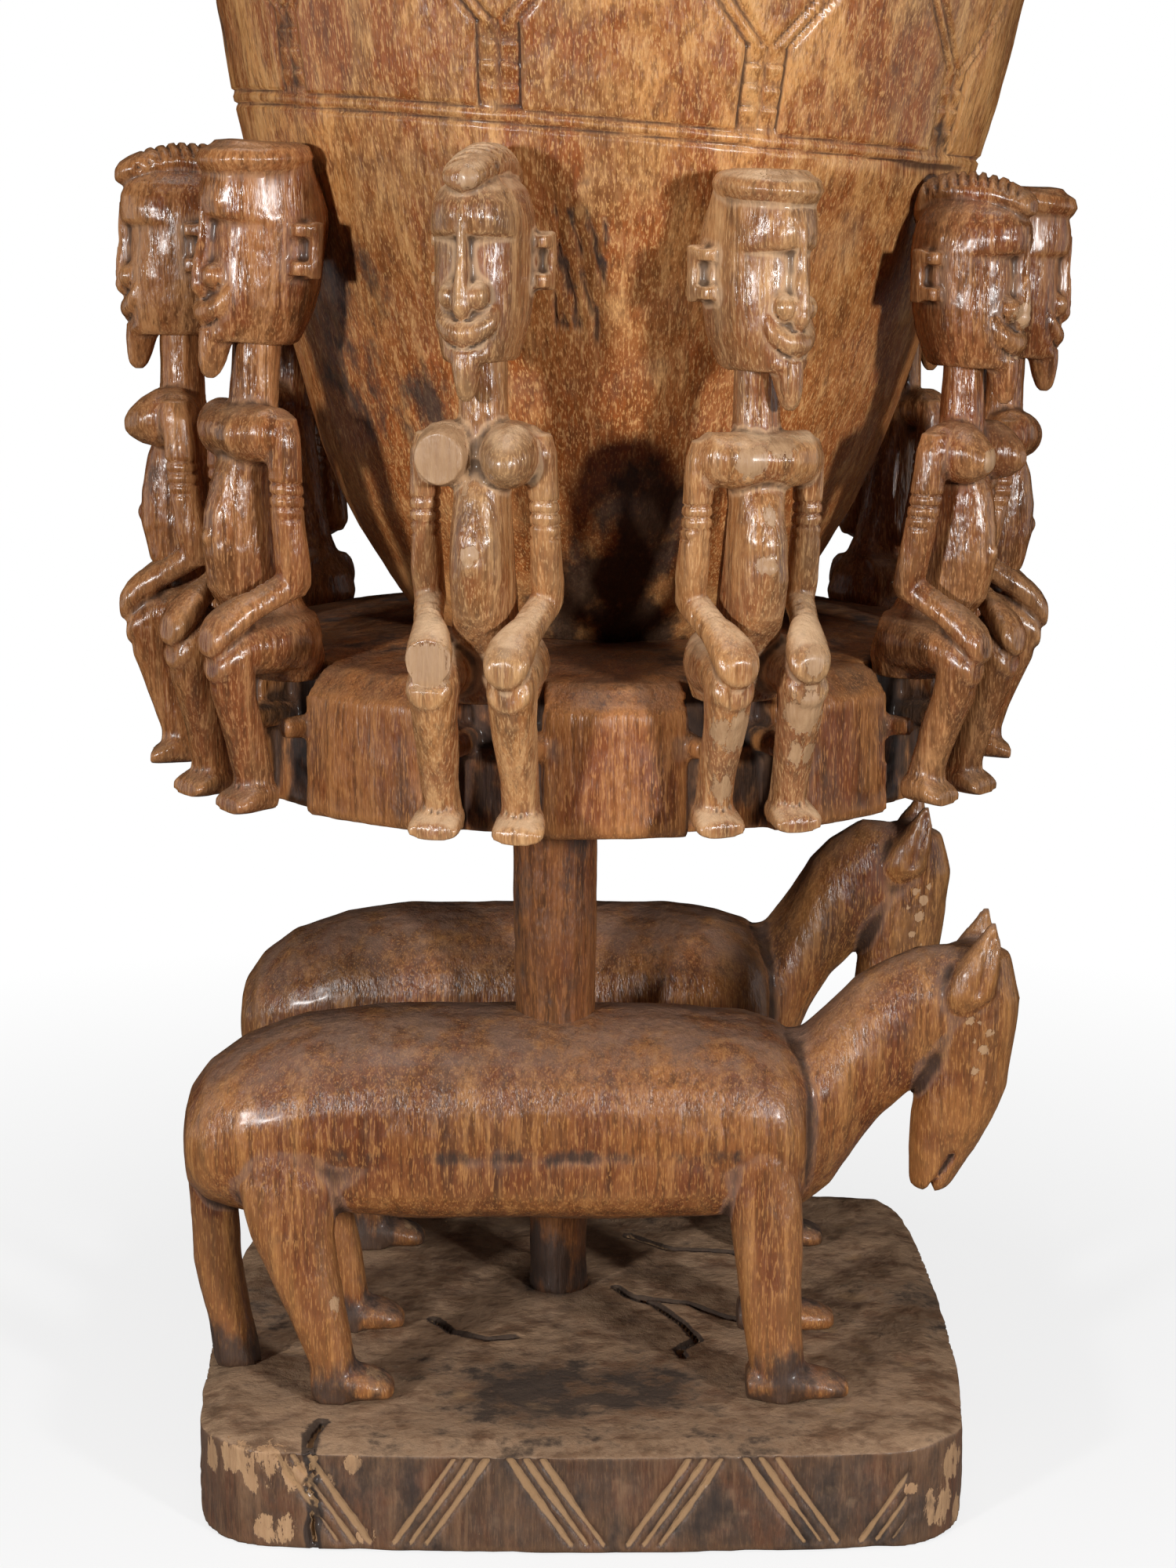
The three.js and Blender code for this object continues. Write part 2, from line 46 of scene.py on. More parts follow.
# Studio: a pale floor and backdrop, two small lamps in front, one on each side, a weak one above and
# two large dim lamps at the sides that stand for pale walls. The camera looks slightly down at the
# horses' sides, as in the photo.
scene = bpy.context.scene
scene.view_settings.view_transform = "Standard"

camera_data = bpy.data.cameras.new("camera")
camera_data.sensor_fit = "VERTICAL"
camera_data.sensor_height = 24
camera_data.lens = 46.57
camera = bpy.data.objects.new("camera", camera_data)
camera.location = (0.0024, -1.2026, 0.4896)
camera.rotation_euler = (math.radians(90 - 11.196), 0, 0)
scene.collection.objects.link(camera)
scene.camera = camera

# Far from the vessel the paper is plain white to the camera, and near it the paper takes shadows.
studio_paper = bpy.data.materials.new("studio_paper")
studio_paper.use_nodes = True
paper_nodes = studio_paper.node_tree.nodes
paper_links = studio_paper.node_tree.links
paper_look = paper_nodes["Principled BSDF"]
paper_look.inputs["Roughness"].default_value = 0.9
paper_look.inputs["Specular IOR Level"].default_value = 0.1
paper_look.inputs["Emission Color"].default_value = (1, 1, 1, 1)
paper_place = paper_nodes.new("ShaderNodeTexCoord")
paper_reach = paper_nodes.new("ShaderNodeVectorMath")
paper_reach.operation = "LENGTH"
paper_fade = paper_nodes.new("ShaderNodeMapRange")
paper_fade.inputs["From Min"].default_value = 0.25
paper_fade.inputs["From Max"].default_value = 0.75
paper_fade.inputs["To Min"].default_value = 0.78
paper_ray = paper_nodes.new("ShaderNodeLightPath")
paper_glow = paper_nodes.new("ShaderNodeMath")
paper_glow.operation = "MULTIPLY"
paper_tone = paper_nodes.new("ShaderNodeMapRange")
paper_tone.inputs["To Min"].default_value = 1
paper_tone.inputs["To Max"].default_value = 0
paper_tint = paper_nodes.new("ShaderNodeCombineColor")
paper_links.new(paper_place.outputs["Object"], paper_reach.inputs[0])
paper_links.new(paper_reach.outputs["Value"], paper_fade.inputs["Value"])
paper_links.new(paper_ray.outputs["Is Camera Ray"], paper_glow.inputs[0])
paper_links.new(paper_fade.outputs["Result"], paper_glow.inputs[1])
paper_links.new(paper_glow.outputs["Value"], paper_look.inputs["Emission Strength"])
paper_links.new(paper_fade.outputs["Result"], paper_tone.inputs["Value"])
for channel in ("Red", "Green", "Blue"):
    paper_links.new(paper_tone.outputs["Result"], paper_tint.inputs[channel])
paper_links.new(paper_tint.outputs["Color"], paper_look.inputs["Base Color"])

bpy.ops.mesh.primitive_plane_add(size=6, location=(0, 0, -0.0005))
floor = bpy.context.object
floor.name = "studio_floor"
bpy.ops.object.mode_set(mode="EDIT")
bpy.ops.mesh.select_mode(type="EDGE")
bpy.ops.mesh.select_all(action="DESELECT")
bpy.ops.object.mode_set(mode="OBJECT")
for edge in floor.data.edges:
    edge.select = all(floor.data.vertices[v].co.y > 0 for v in edge.vertices)
bpy.ops.object.mode_set(mode="EDIT")
bpy.ops.mesh.extrude_region_move(TRANSFORM_OT_translate={"value": (0, 1.2, 3)})
bpy.ops.object.mode_set(mode="OBJECT")
floor.data.materials.append(studio_paper)

world = bpy.data.worlds.new("studio_air")
world.use_nodes = True
world.node_tree.nodes["Background"].inputs["Color"].default_value = (1, 0.98, 0.96, 1)
world.node_tree.nodes["Background"].inputs["Strength"].default_value = 0.015
scene.world = world


middle_of_vessel = Vector((0, 0, 0.3))


def softbox(name, place, size, power):
    """A square lamp turned towards the middle of the vessel."""
    lamp = bpy.data.lights.new(name, "AREA")
    lamp.shape = "SQUARE"
    lamp.size = size
    lamp.energy = power
    holder = bpy.data.objects.new(name, lamp)
    holder.location = place
    holder.rotation_euler = (middle_of_vessel - Vector(place)).to_track_quat("-Z", "Y").to_euler()
    scene.collection.objects.link(holder)


softbox("left_softbox", (-0.95, -1.41, 0.58), 0.14, 16.5)
softbox("right_softbox", (0.95, -1.41, 0.58), 0.14, 16.5)
softbox("top_softbox", (0, -0.3, 2.0), 1.0, 9)
softbox("left_wall", (-1.5, 0.1, 0.4), 0.9, 2.5)
softbox("right_wall", (1.5, 0.1, 0.4), 0.9, 2.5)


# Plinth: a thick rounded square slab of hardwood, hewn flat, smoked and charred, with a few drying
# cracks. Groups of three slanting lines are incised round its sides. It carries the two horses and
# the thin centre post.
mm = 0.001


def drawn(stations, facing="Z", sides=20, roundness=1):
    """Draws one member ring by ring. A station is x, y, z and the ring's two half sizes, in mm.

    A roundness below 1 turns the rounds into rounded rectangles.
    """
    turn = {"Z": (0, 0, 0), "Y": (math.pi / 2, 0, 0), "X": (0, math.pi / 2, 0)}[facing]
    sizes = {
        "Z": lambda wide, deep: (wide, deep, 1),
        "Y": lambda wide, deep: (wide, 1, deep),
        "X": lambda wide, deep: (1, wide, deep),
    }[facing]
    x, y, z, wide, deep = stations[0]
    start = (x * mm, y * mm, z * mm)
    bpy.ops.object.select_all(action="DESELECT")
    bpy.ops.mesh.primitive_circle_add(
        vertices=sides, radius=mm, fill_type="NGON", location=start, rotation=turn
    )
    member = bpy.context.object
    for vertex in member.data.vertices:
        for axis in (0, 1):
            offset = vertex.co[axis] / mm
            vertex.co[axis] = math.copysign(abs(offset) ** roundness, offset) * mm
    bpy.ops.object.transform_apply(location=True, rotation=True, scale=True)
    bpy.ops.object.mode_set(mode="EDIT")
    bpy.ops.mesh.select_all(action="SELECT")
    bpy.ops.transform.resize(value=sizes(wide, deep), center_override=start)
    for before, (x, y, z, wide, deep) in zip(stations, stations[1:]):
        step = ((x - before[0]) * mm, (y - before[1]) * mm, (z - before[2]) * mm)
        bpy.ops.mesh.extrude_region_move(TRANSFORM_OT_translate={"value": step})
        bpy.ops.transform.resize(
            value=sizes(wide / before[3], deep / before[4]),
            center_override=(x * mm, y * mm, z * mm),
        )
    bpy.ops.mesh.select_all(action="SELECT")
    bpy.ops.mesh.normals_make_consistent(inside=False)
    bpy.ops.object.mode_set(mode="OBJECT")
    return member


def applied(body, kind, **settings):
    """Adds a modifier with these settings and applies it."""
    modifier = body.modifiers.new(kind.lower(), kind)
    for name, value in settings.items():
        setattr(modifier, name, value)
    bpy.ops.object.select_all(action="DESELECT")
    body.select_set(True)
    bpy.context.view_layer.objects.active = body
    bpy.ops.object.modifier_apply(modifier=modifier.name)


def carved(name, members, grain, soften=2):
    """Joins roughed-out members into one body of wood, with a surface point every grain mm."""
    bpy.ops.object.select_all(action="DESELECT")
    for member in members:
        member.select_set(True)
    bpy.context.view_layer.objects.active = members[0]
    if len(members) > 1:
        bpy.ops.object.join()
    body = bpy.context.object
    bpy.ops.object.transform_apply(location=True, rotation=True, scale=True)
    body.name = name
    body.data.name = name
    applied(body, "REMESH", mode="VOXEL", voxel_size=grain * mm, use_smooth_shade=True)
    applied(body, "SMOOTH", factor=0.5, iterations=soften)
    return body


def surface(body):
    """The body's points and their outward directions, in mm."""
    count = len(body.data.vertices)
    place = np.empty(count * 3)
    body.data.vertices.foreach_get("co", place)
    outward = np.empty(count * 3)
    body.data.vertex_normals.foreach_get("vector", outward)
    return place.reshape(-1, 3) / mm, outward.reshape(-1, 3)


def reshape(body, place):
    body.data.vertices.foreach_set("co", (place * mm).ravel())
    body.data.update()


def chiselled(body, strokes, width, depth):
    """Cuts a rounded groove along each stroke. A negative depth leaves a raised line instead."""
    place, outward = surface(body)
    cut = np.zeros(len(place))
    for stroke in strokes:
        points = np.array(stroke, float)
        for start, end in zip(points, points[1:]):
            run = end - start
            share = np.clip((place - start) @ run / (run @ run), 0, 1)
            gap = np.linalg.norm(place - start - share[:, None] * run, axis=1)
            cut = np.maximum(cut, np.clip(1 - (2 * gap / width) ** 2, 0, 1))
    reshape(body, place - outward * (depth * cut)[:, None])


def hand_cut(body, size, depth, name="chisel_marks"):
    """Leaves the shallow uneven facets of a hand tool all over a body."""
    marks = bpy.data.textures.new(name, "CLOUDS")
    marks.noise_scale = size * mm
    marks.noise_depth = 1
    applied(body, "DISPLACE", texture=marks, strength=2 * depth * mm, mid_level=0.5)


def weathered_and_shaded(body, worn=(), char_and_painted_shade=(), spread=24):
    """Marks on the mesh how deep each point lies in a hollow, where wood is rubbed, and where it is
    blackened, by fire in some places and as painted shade in others.

    A worn or blackened place is a middle point and a reach, in mm, and may end in a strength. Red is
    the hollow, which also sets the painted shade of deep creases, green is worn and blue is char and
    painted shade.
    """
    place, outward = surface(body)
    edges = np.empty(len(body.data.edges) * 2, int)
    body.data.edges.foreach_get("vertices", edges)
    one, other = edges[0::2], edges[1::2]
    count = len(place)
    links = np.bincount(one, minlength=count) + np.bincount(other, minlength=count)
    smooth = place.copy()
    for _ in range(spread):
        total = np.empty_like(smooth)
        for axis in range(3):
            total[:, axis] = np.bincount(one, smooth[other, axis], count)
            total[:, axis] += np.bincount(other, smooth[one, axis], count)
        smooth = total / np.maximum(links, 1)[:, None]
    marks = np.zeros((count, 4))
    full_hollow = 1.2
    marks[:, 0] = 0.5 + 0.5 * np.clip(((smooth - place) * outward).sum(1) / full_hollow, -1, 1)
    for column, spots in ((1, worn), (2, char_and_painted_shade)):
        for x, y, z, reach, *strength in spots:
            gap = np.linalg.norm(place - (x, y, z), axis=1)
            mark = np.clip(1.5 - gap / reach, 0, 1) * (strength[0] if strength else 1)
            marks[:, column] = np.maximum(marks[:, column], mark)
    marks[:, 3] = 1
    layer = body.data.color_attributes.new("weather_and_shade", "FLOAT_COLOR", "POINT")
    layer.data.foreach_set("color", marks.ravel())


def srgb(red, green, blue):
    """A colour as seen, from 0 to 255, turned into the light values that the renderer mixes."""
    return tuple((c / 255 / 12.92 if c < 11 else ((c / 255 + 0.055) / 1.055) ** 2.4)
                 for c in (red, green, blue)) + (1,)


def old_wood(
    name, pale, middle, red, dark, dust, gloss=0.34, dustiness=0.5, flecks=0.5, grooves=None, darker_below=None
):
    """Oiled hardwood with upright grain: uneven tone, open pores, painted shade in hollows and worn edges.

    Grooves is the colour of bare cuts in a dark crust. Darker below is a pair of heights in metres: the
    colour turns dark red towards the lower one and is the wood's own from the upper one.
    """
    material = bpy.data.materials.new(name)
    material.use_nodes = True
    nodes = material.node_tree.nodes
    links = material.node_tree.links
    look = nodes["Principled BSDF"]
    coordinates = nodes.new("ShaderNodeTexCoord")

    def noise(scale, upright=1, detail=4, roughness=0.55, distortion=0):
        mapping = nodes.new("ShaderNodeMapping")
        mapping.inputs["Scale"].default_value = (1, 1, upright)
        links.new(coordinates.outputs["Object"], mapping.inputs["Vector"])
        texture = nodes.new("ShaderNodeTexNoise")
        texture.inputs["Scale"].default_value = scale
        texture.inputs["Detail"].default_value = detail
        texture.inputs["Roughness"].default_value = roughness
        texture.inputs["Distortion"].default_value = distortion
        links.new(mapping.outputs["Vector"], texture.inputs["Vector"])
        return texture.outputs["Fac"]

    def between(value, low, high, to_low=0, to_high=1):
        span = nodes.new("ShaderNodeMapRange")
        span.interpolation_type = "SMOOTHSTEP"
        links.new(value, span.inputs["Value"])
        span.inputs["From Min"].default_value = low
        span.inputs["From Max"].default_value = high
        span.inputs["To Min"].default_value = to_low
        span.inputs["To Max"].default_value = to_high
        return span.outputs["Result"]

    def worked(operation, first, second):
        maths = nodes.new("ShaderNodeMath")
        maths.operation = operation
        for socket, value in zip(maths.inputs, (first, second)):
            if isinstance(value, (int, float)):
                socket.default_value = value
            else:
                links.new(value, socket)
        return maths.outputs["Value"]

    def blended(share, first, second):
        blend = nodes.new("ShaderNodeMix")
        blend.data_type = "RGBA"
        sockets = (blend.inputs[0], blend.inputs[6], blend.inputs[7])
        for socket, value in zip(sockets, (share, first, second)):
            if isinstance(value, (int, float, tuple)):
                socket.default_value = value
            else:
                links.new(value, socket)
        return blend.outputs[2]

    def ragged(mark, edge, low, high):
        """A mark from the mesh whose edge is broken up by the grain."""
        uneven = worked("MULTIPLY", worked("SUBTRACT", edge, 0.5), 2.6)
        return between(worked("ADD", mark, uneven), low, high)

    marks = nodes.new("ShaderNodeAttribute")
    marks.attribute_name = "weather_and_shade"
    kinds = nodes.new("ShaderNodeSeparateColor")
    links.new(marks.outputs["Color"], kinds.inputs["Color"])
    hollow, rubbed, char_and_shade_mark = kinds.outputs["Red"], kinds.outputs["Green"], kinds.outputs["Blue"]
    facing = nodes.new("ShaderNodeSeparateXYZ")
    links.new(coordinates.outputs["Normal"], facing.inputs["Vector"])

    cloud = noise(9, 0.6, 5, 0.6, 0.7)
    stain = noise(27, 0.5, 6, 0.62, 1.2)
    streaks = noise(130, 0.075, 7, 0.62, 0.4)
    fibres = noise(520, 0.05, 4)
    pores = noise(1700, 0.14, 2, 0.5)
    mottle = noise(105, 0.6, 5, 0.62, 0.5)
    blotches = noise(75, 0.5, 6, 0.65)

    # Each layer follows a pattern between two of its values, has a share at either one, and a colour.
    layers = [
        (cloud, 0.36, 0.56, 0.75, 0, dark),
        (stain, 0.45, 0.6, 0, 0.9, red),
        (stain, 0.26, 0.46, 0.55, 0, pale),
    ]
    # Darker and redder towards the bottom, from the upper height down to the lower one.
    if darker_below:
        level = nodes.new("ShaderNodeSeparateXYZ")
        links.new(coordinates.outputs["Object"], level.inputs["Vector"])
        uneven_level = worked("ADD", level.outputs["Z"], worked("MULTIPLY", stain, 0.08))
        layers.append((uneven_level, darker_below[0] + 0.04, darker_below[1] + 0.04, 0.85, 0, red))
    layers += [
        (mottle, 0.5, 0.68, 0, 0.5, red),
        (mottle, 0.3, 0.45, 0.45, 0, dark),
        (streaks, 0.5, 0.72, 0, 0.5, pale),
        (streaks, 0.3, 0.48, 0.65, 0, dark),
        (fibres, 0.34, 0.5, 0.55, 0, dark),
        (fibres, 0.56, 0.68, 0, 0.4, pale),
        (pores, 0.55, 0.63, 0, flecks, pale),
        (pores, 0.34, 0.42, 0.35, 0, dark),
        (hollow, 0.4, 0.1, 0, 0.25, pale),
    ]
    colour = middle
    for pattern, low, high, share_low, share_high, tint in layers:
        colour = blended(between(pattern, low, high, share_low, share_high), colour, tint)
    lying = between(facing.outputs["Z"], 0.3, 0.9, 0.1, 1)
    settled = worked("MULTIPLY", between(hollow, 0.5, 0.6, 0, 0.6), between(blotches, 0.35, 0.6, 0.4, 1))
    settled = worked("MAXIMUM", settled, worked("MULTIPLY", lying, between(blotches, 0.34, 0.6, 0.3, 1)))
    settled = worked("MULTIPLY", settled, dustiness)
    colour = blended(settled, colour, dust)
    # Painted shade: deep hollows and creases are darkened towards a third of the dark tone, unless grooves
    # are given.
    shade = tuple(c * 0.3 for c in dark[:3]) + (1,)
    if not grooves:
        colour = blended(between(hollow, 0.58, 0.9, 0, 0.8), colour, shade)
    splinters = noise(190, 0.35, 5, 0.7, 0.4)
    bare = ragged(rubbed, splinters, 0.6, 0.7)
    colour = blended(bare, colour, blended(fibres, srgb(150, 108, 74), srgb(206, 166, 124)))
    # The blue mark blackens the wood: char in some places, painted shade in others.
    soot_and_shade_share = ragged(char_and_shade_mark, blotches, 0.3, 0.9)
    soot_and_shade_colour = blended(fibres, srgb(26, 20, 18), srgb(66, 50, 41))
    colour = blended(worked("MULTIPLY", soot_and_shade_share, 0.88), colour, soot_and_shade_colour)
    if grooves:
        incised = worked("MULTIPLY", between(hollow, 0.56, 0.72, 0, 0.85), between(char_and_shade_mark, 1, 1.4, 1, 0))
        colour = blended(incised, colour, grooves)
    links.new(colour, look.inputs["Base Color"])

    rough = between(hollow, 0.44, 0.58, gloss, gloss + 0.28)
    rough = worked("ADD", rough, between(fibres, 0.35, 0.65, -0.04, 0.08))
    rough = worked("ADD", rough, worked("MULTIPLY", settled, 0.3))
    rough = worked("ADD", rough, worked("MULTIPLY", worked("MAXIMUM", bare, soot_and_shade_share), 0.22))
    links.new(rough, look.inputs["Roughness"])
    look.inputs["Coat Weight"].default_value = 0.16
    look.inputs["Coat Roughness"].default_value = 0.16

    relief = worked("ADD", worked("MULTIPLY", pores, 0.35), worked("MULTIPLY", fibres, 0.6))
    relief = worked("ADD", relief, worked("MULTIPLY", streaks, 0.8))
    relief = worked("ADD", relief, worked("MULTIPLY", noise(150, 0.45, 3), 2))
    relief = worked("SUBTRACT", relief, worked("MULTIPLY", bare, 0.7))
    bump = nodes.new("ShaderNodeBump")
    bump.inputs["Strength"].default_value = 0.6
    bump.inputs["Distance"].default_value = 0.0009
    links.new(relief, bump.inputs["Height"])
    links.new(bump.outputs["Normal"], look.inputs["Normal"])
    return material


plinth_low, plinth_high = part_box("plinth")
plinth_middle = (plinth_low + plinth_high) / 2 / mm
plinth_half = (plinth_high - plinth_low) / 2 / mm
plinth_top = plinth_high.z / mm
corner_round, side_swell, rim_droop = 30, 7.5, 2.6

bpy.ops.mesh.primitive_cube_add(size=2 * mm)
slab = bpy.context.object
slab.scale = plinth_half
slab.location = plinth_middle * mm
bpy.ops.object.transform_apply(location=True, rotation=True, scale=True)
bpy.ops.object.mode_set(mode="EDIT")
bpy.ops.mesh.select_mode(type="EDGE")
bpy.ops.mesh.select_all(action="DESELECT")
bpy.ops.object.mode_set(mode="OBJECT")
for edge in slab.data.edges:
    one, other = (slab.data.vertices[v].co for v in edge.vertices)
    edge.select = abs(one.z - other.z) > 0.01
bpy.ops.object.mode_set(mode="EDIT")
bpy.ops.mesh.bevel(offset=corner_round * mm, segments=6, profile=0.55)
bpy.ops.mesh.select_all(action="SELECT")
bpy.ops.object.mode_set(mode="OBJECT")
plinth = carved("carved_plinth", [slab], 1.3, 3)
place, _ = surface(plinth)
across = (place - plinth_middle) / plinth_half
for side, along in ((0, 1), (1, 0)):
    place[:, side] -= side_swell * across[:, side] * np.clip(across[:, along] ** 2, 0, 1)
round_over = np.clip((across[:, 2] - 0.72) / 0.28, 0, 1) ** 2
rim = np.clip((np.abs(across[:, :2]).max(1) - 0.93) / 0.07, 0, 1)
place[:, 2] -= rim_droop * round_over * rim
reshape(plinth, place)


def plinth_side(side, along, height):
    """A point on the plinth's side, from its share along that side and its height."""
    bulge = 1 - side_swell / plinth_half.x * along ** 2
    u, v = along * plinth_half.x, bulge
    spots = {
        "front": (u, -v * plinth_half.y),
        "back": (-u, v * plinth_half.y),
        "right": (v * plinth_half.x, u),
        "left": (-v * plinth_half.x, -u),
    }
    x, y = spots[side]
    return (plinth_middle.x + x, plinth_middle.y + y, height)


slants = []
group_spacing, line_spacing, line_lean = 0.29, 0.04, 0.075
for side in ("front", "back", "right", "left"):
    for group in range(6):
        lean = line_lean if group % 2 else -line_lean
        middle_share = -0.64 + group_spacing * group
        for line in (-1, 0, 1):
            share = middle_share + line_spacing * line
            slants.append([
                plinth_side(side, share - lean, 3),
                plinth_side(side, share, 19),
                plinth_side(side, share + lean, plinth_top - 4),
            ])
chiselled(plinth, slants, 3.4, 1.7)
cracks_on_top = [
    [(14, -4), (19, -14), (30, -24), (40, -44), (46, -62)],
    [(24, -16), (42, -22), (58, -38), (72, -46)],
    [(46, -62), (38, -72), (40, -80)],
    [(-60, -40), (-52, -54), (-38, -62), (-26, -60)],
    [(20, 60), (38, 42), (64, 38), (90, 20)],
]
cracks = [[(x, y, plinth_top) for x, y in crack] for crack in cracks_on_top]
chiselled(plinth, cracks, 3, 4)
split_x = -99
split = [[(split_x + 3, -144, plinth_top), (split_x, -156, plinth_top), (split_x, -164, plinth_top)]]
split[0] += [
    plinth_side("front", split_x / plinth_half.x + wander, height)
    for wander, height in ((0, 38), (0.012, 31), (-0.004, 24), (0.014, 15), (0.004, 8), (0.01, 1))
]
chiselled(plinth, split, 3.4, 5)
applied(plinth, "DECIMATE", ratio=0.7)
hand_cut(plinth, 26, 0.9, "hewn_top")
hand_cut(plinth, 7, 0.28, "hewn_fine")
place, _ = surface(plinth)
place[:, 2] = np.maximum(place[:, 2], 0)
reshape(plinth, place)
dark_cracks = []
for crack in cracks + split:
    for start, end in zip(crack, crack[1:]):
        for tenth in range(10):
            x, y, z = (a + tenth / 10 * (b - a) for a, b in zip(start, end))
            dark_cracks.append((x, y, z - 1, 2.4, 2))
weathered_and_shaded(
    plinth,
    worn=[
        (-136, -152, 30, 8, 0.9), (-126, -160, 33, 8, 0.9), (-114, -166, 34, 8, 0.85),
        (-104, -169, 28, 7, 0.85), (-118, -164, 26, 6, 0.8), (-84, -170, 33, 5), (-92, -170, 26, 4, 0.9),
        (-112, -167, 8, 8, 0.85), (-78, -171, 6, 5, 0.8), (136, -152, 28, 8, 0.9),
        (130, -156, 12, 9, 0.9), (140, -146, 6, 7), (120, -163, 22, 3), (146, -60, 10, 12, 0.8),
        (-144, 40, 12, 14, 0.8), (60, 122, 20, 10, 0.8),
    ],
    char_and_painted_shade=dark_cracks + [
        (0, -171, 16, 50, 0.42), (64, -171, 16, 44, 0.46), (-60, -171, 16, 34, 0.42),
        (110, -160, 14, 22, 0.42), (10, 124, 16, 60, 0.6), (146, -20, 18, 40, 0.6),
        (-146, -30, 18, 44, 0.6), (-18, -116, plinth_top, 34, 0.85), (20, -112, plinth_top, 30, 0.8),
        (-62, -92, plinth_top, 14, 0.5), (-10, 0, plinth_top, 15),
    ],
)
smoked_wood = old_wood(
    "smoked_wood", srgb(136, 100, 70), srgb(100, 70, 50), srgb(98, 58, 36), srgb(58, 41, 32),
    srgb(180, 146, 114), gloss=0.44, dustiness=0.85, flecks=0.3, grooves=srgb(168, 132, 94),
)
plinth.data.materials.append(smoked_wood)
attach(plinth, "vessel")
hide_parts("plinth")


# Posts: a thin burnt post on the plinth between the horses, and a thicker one that stands on each
# horse's back. All three are whittled round from the same log and carry the disc.
dark_oiled_wood = old_wood(
    "dark_oiled_wood", srgb(166, 108, 60), srgb(128, 74, 37), srgb(102, 51, 23), srgb(44, 26, 15),
    srgb(120, 98, 78), gloss=0.34, dustiness=0.4, flecks=0.5,
)


def post(name, node, foot, crown, waist, low, high, char_and_painted_shade=()):
    """A post from low to high, with its radius at the foot, at the crown and between them."""
    box_low, box_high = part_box(node)
    x, y = (box_low.x + box_high.x) / 2 / mm, (box_low.y + box_high.y) / 2 / mm
    rings = [(low, foot), (low + 10, foot - 0.6), ((low + high) / 2, waist),
             (high - 14, crown - 0.8), (high, crown)]
    body = carved(name, [drawn([(x, y, z, r, r) for z, r in rings], "Z", 14)], 1.5, 2)
    hand_cut(body, 16, 0.5, name + "_whittled")
    weathered_and_shaded(body, char_and_painted_shade=char_and_painted_shade)
    body.data.materials.append(dark_oiled_wood)
    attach(body, "vessel")
    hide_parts(node)
    return body


disc_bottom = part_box("figure_disc")[0].z / mm
horse_aside, saddle_height = 84, 160
centre_post = post(
    "whittled_centre_post", "centre_post", 12.6, 14.4, 13, plinth_top - 0.5, disc_bottom + 1,
    char_and_painted_shade=[(-10, 0, plinth_top, 20), (-16, -8, plinth_top + 14, 14)],
)
for node in ("saddle_post_front", "saddle_post_rear"):
    side = -1 if node == "saddle_post_front" else 1
    smoke = [(-16, horse_aside * side - 12, height, 22, 0.5) for height in (190, 220, 250, 268)]
    saddle_post = post(
        "whittled_" + node, node, 15.6, 17, 15.9, saddle_height, disc_bottom + 1, smoke
    )


# Horses: two horses side by side, each hewn with a loaf-like barrel, an arched neck and a long head
# that hangs to a slit muzzle. They are oiled and rubbed bright, and their feet are burnt black.
oiled_wood = old_wood(
    "oiled_wood", srgb(204, 144, 82), srgb(156, 95, 46), srgb(116, 58, 25), srgb(70, 40, 22),
    srgb(140, 112, 96), gloss=0.32, dustiness=0.7, flecks=0.5, darker_below=(0.09, 0.15),
)

# Each hoof's distance from the horse's middle line, and the gap left under a seated piece.
foot_aside, seam = 35.5, 0.3


